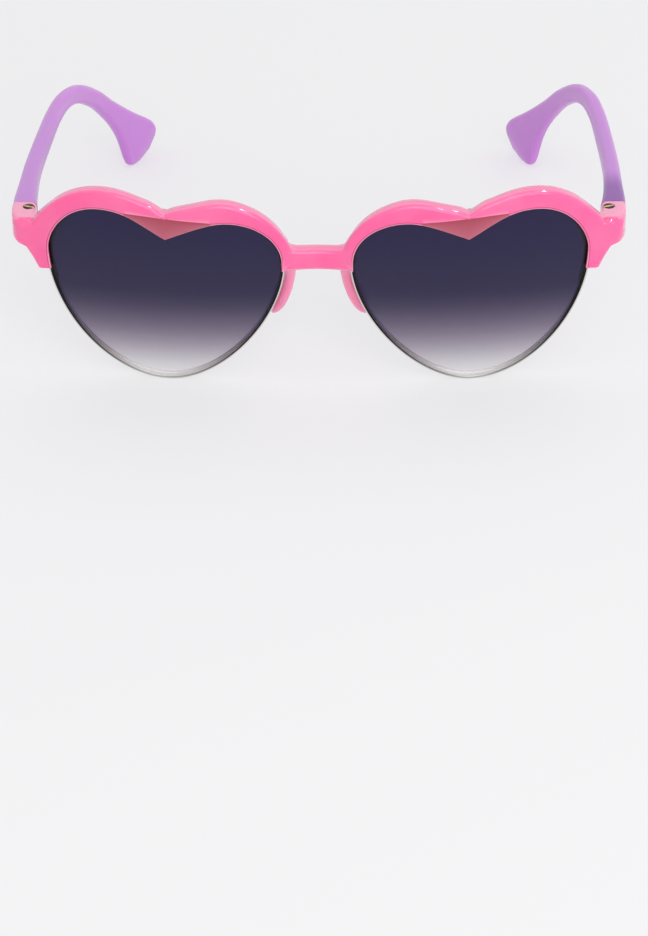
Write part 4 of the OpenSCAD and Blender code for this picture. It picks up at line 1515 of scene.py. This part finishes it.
def plain_view(tree):
    """1 for what the camera sees straight, in a gloss or through the lenses, else 0"""
    most = sums(tree, "MAXIMUM")[0]
    ray = node(tree, "ShaderNodeLightPath").outputs
    return most(most(ray["Is Camera Ray"], ray["Is Glossy Ray"]), ray["Is Transmission Ray"])


def pale_floor(tree, colours):
    """Pale paint that keeps the shadows, evened out with white in the plain view"""
    times = sums(tree, "MULTIPLY")[0]
    mix = out_of(tree, "ShaderNodeMixShader", {
        0: times(plain_view(tree), PAPER_SHARE), 1: tree.nodes["Principled BSDF"].outputs["BSDF"],
        2: out_of(tree, "ShaderNodeEmission", {"Color": (*PAPER, 1), "Strength": 1})})
    set_inputs(tree, tree.nodes["Material Output"], {"Surface": mix})
    return {"Base Color": (*colours.floor, 1), "Roughness": 0.9, "Specular IOR Level": 0.1}


def lamp(name, power, size, place, shadow):
    data = bpy.data.lights.new(name, "AREA")
    data.shape = "DISK"
    data.size = size
    data.energy = power
    data.use_shadow = shadow
    made = add_object(name, data)
    made.location = place
    made.rotation_euler = (AIM - Vector(place)).to_track_quat("-Z", "Y").to_euler()


class SUNGLASSES_OT_studio(bpy.types.Operator):
    """Pale floor, soft lights and the camera"""
    bl_idname = "sunglasses.studio"
    bl_label = "Studio"

    def execute(self, context):
        scene = context.scene
        studio = scene.sunglasses_studio
        scene.view_settings.view_transform = "Standard"
        ways = ((-1, -1), (1, -1), (1, 1), (-1, 1))
        corners = [(x * FLOOR_HALF, y * FLOOR_HALF, 0) for x, y in ways]
        floor = mesh_object("floor", corners, [(0, 1, 2, 3)])
        floor.data.materials.append(painted(pale_floor))
        scene.world = bpy.data.worlds.new("studio")
        scene.world.use_nodes = True
        tree = scene.world.node_tree
        set_inputs(tree, tree.nodes["Background"], {
            "Color": (*scene.sunglasses_finishes.floor, 1),
            "Strength": scaled(tree, plain_view(tree), 0, 1, studio.world, 1)})
        lamp("key", studio.key, KEY_SIZE, KEY_PLACE, shadow=False)
        lamp("fill", studio.fill, FILL_SIZE, FILL_PLACE, shadow=True)
        a, e, r = studio.azimuth, studio.elevation, studio.roll
        back = Vector((math.sin(a) * math.cos(e), -math.cos(a) * math.cos(e), math.sin(e)))
        right = Vector((math.cos(a), math.sin(a), 0))
        up = back.cross(right)
        data = bpy.data.cameras.new("camera")
        data.sensor_width = SENSOR
        data.lens = studio.focal
        scene.camera = add_object("camera", data)
        across = math.cos(r) * right + math.sin(r) * up
        upward = -math.sin(r) * right + math.cos(r) * up
        turn = Matrix((across, upward, back)).transposed()
        place = VIEW_CENTRE + back * studio.distance + right * studio.aside + up * studio.lower
        scene.camera.matrix_world = Matrix.Translation(place) @ turn.to_4x4()
        return {"FINISHED"}


class SUNGLASSES_PT_panel(bpy.types.Panel):
    """Sizes, finishes and pieces of the sunglasses"""
    bl_label = "Sunglasses"
    bl_idname = "SUNGLASSES_PT_panel"
    bl_space_type = "VIEW_3D"
    bl_region_type = "UI"
    bl_category = "Sunglasses"

    def draw(self, context):
        for operator in OPERATORS:
            self.layout.operator(operator.bl_idname)
        for name in GROUPS:
            box = self.layout.box()
            group = getattr(context.scene, name)
            box.label(text=GROUPS[name].__doc__)
            for key in GROUPS[name].__annotations__:
                box.prop(group, key)


GROUPS = {
    "sunglasses_lens": SunglassesLensSizes,
    "sunglasses_front": SunglassesFrontSizes,
    "sunglasses_hinge": SunglassesHingeSizes,
    "sunglasses_temple": SunglassesTempleSizes,
    "sunglasses_rim": SunglassesRimSizes,
    "sunglasses_screw": SunglassesScrewSizes,
    "sunglasses_finishes": SunglassesFinishes,
    "sunglasses_studio": SunglassesStudio,
}
OPERATORS = (SUNGLASSES_OT_front, SUNGLASSES_OT_lenses, SUNGLASSES_OT_rims, SUNGLASSES_OT_screws,
             SUNGLASSES_OT_temples, SUNGLASSES_OT_studio)


def register():
    for name, group in GROUPS.items():
        bpy.utils.register_class(group)
        setattr(bpy.types.Scene, name, PointerProperty(type=group))
    for kind in (*OPERATORS, SUNGLASSES_PT_panel):
        bpy.utils.register_class(kind)


def unregister():
    for kind in (*OPERATORS, SUNGLASSES_PT_panel):
        bpy.utils.unregister_class(kind)
    for name, group in GROUPS.items():
        delattr(bpy.types.Scene, name)
        bpy.utils.unregister_class(group)


def main():
    register()
    bpy.ops.sunglasses.front()
    bpy.ops.sunglasses.lenses()
    bpy.ops.sunglasses.rims()
    bpy.ops.sunglasses.screws()
    bpy.ops.sunglasses.temples()
    bpy.ops.sunglasses.studio()


if __name__ == "__main__":
    main()
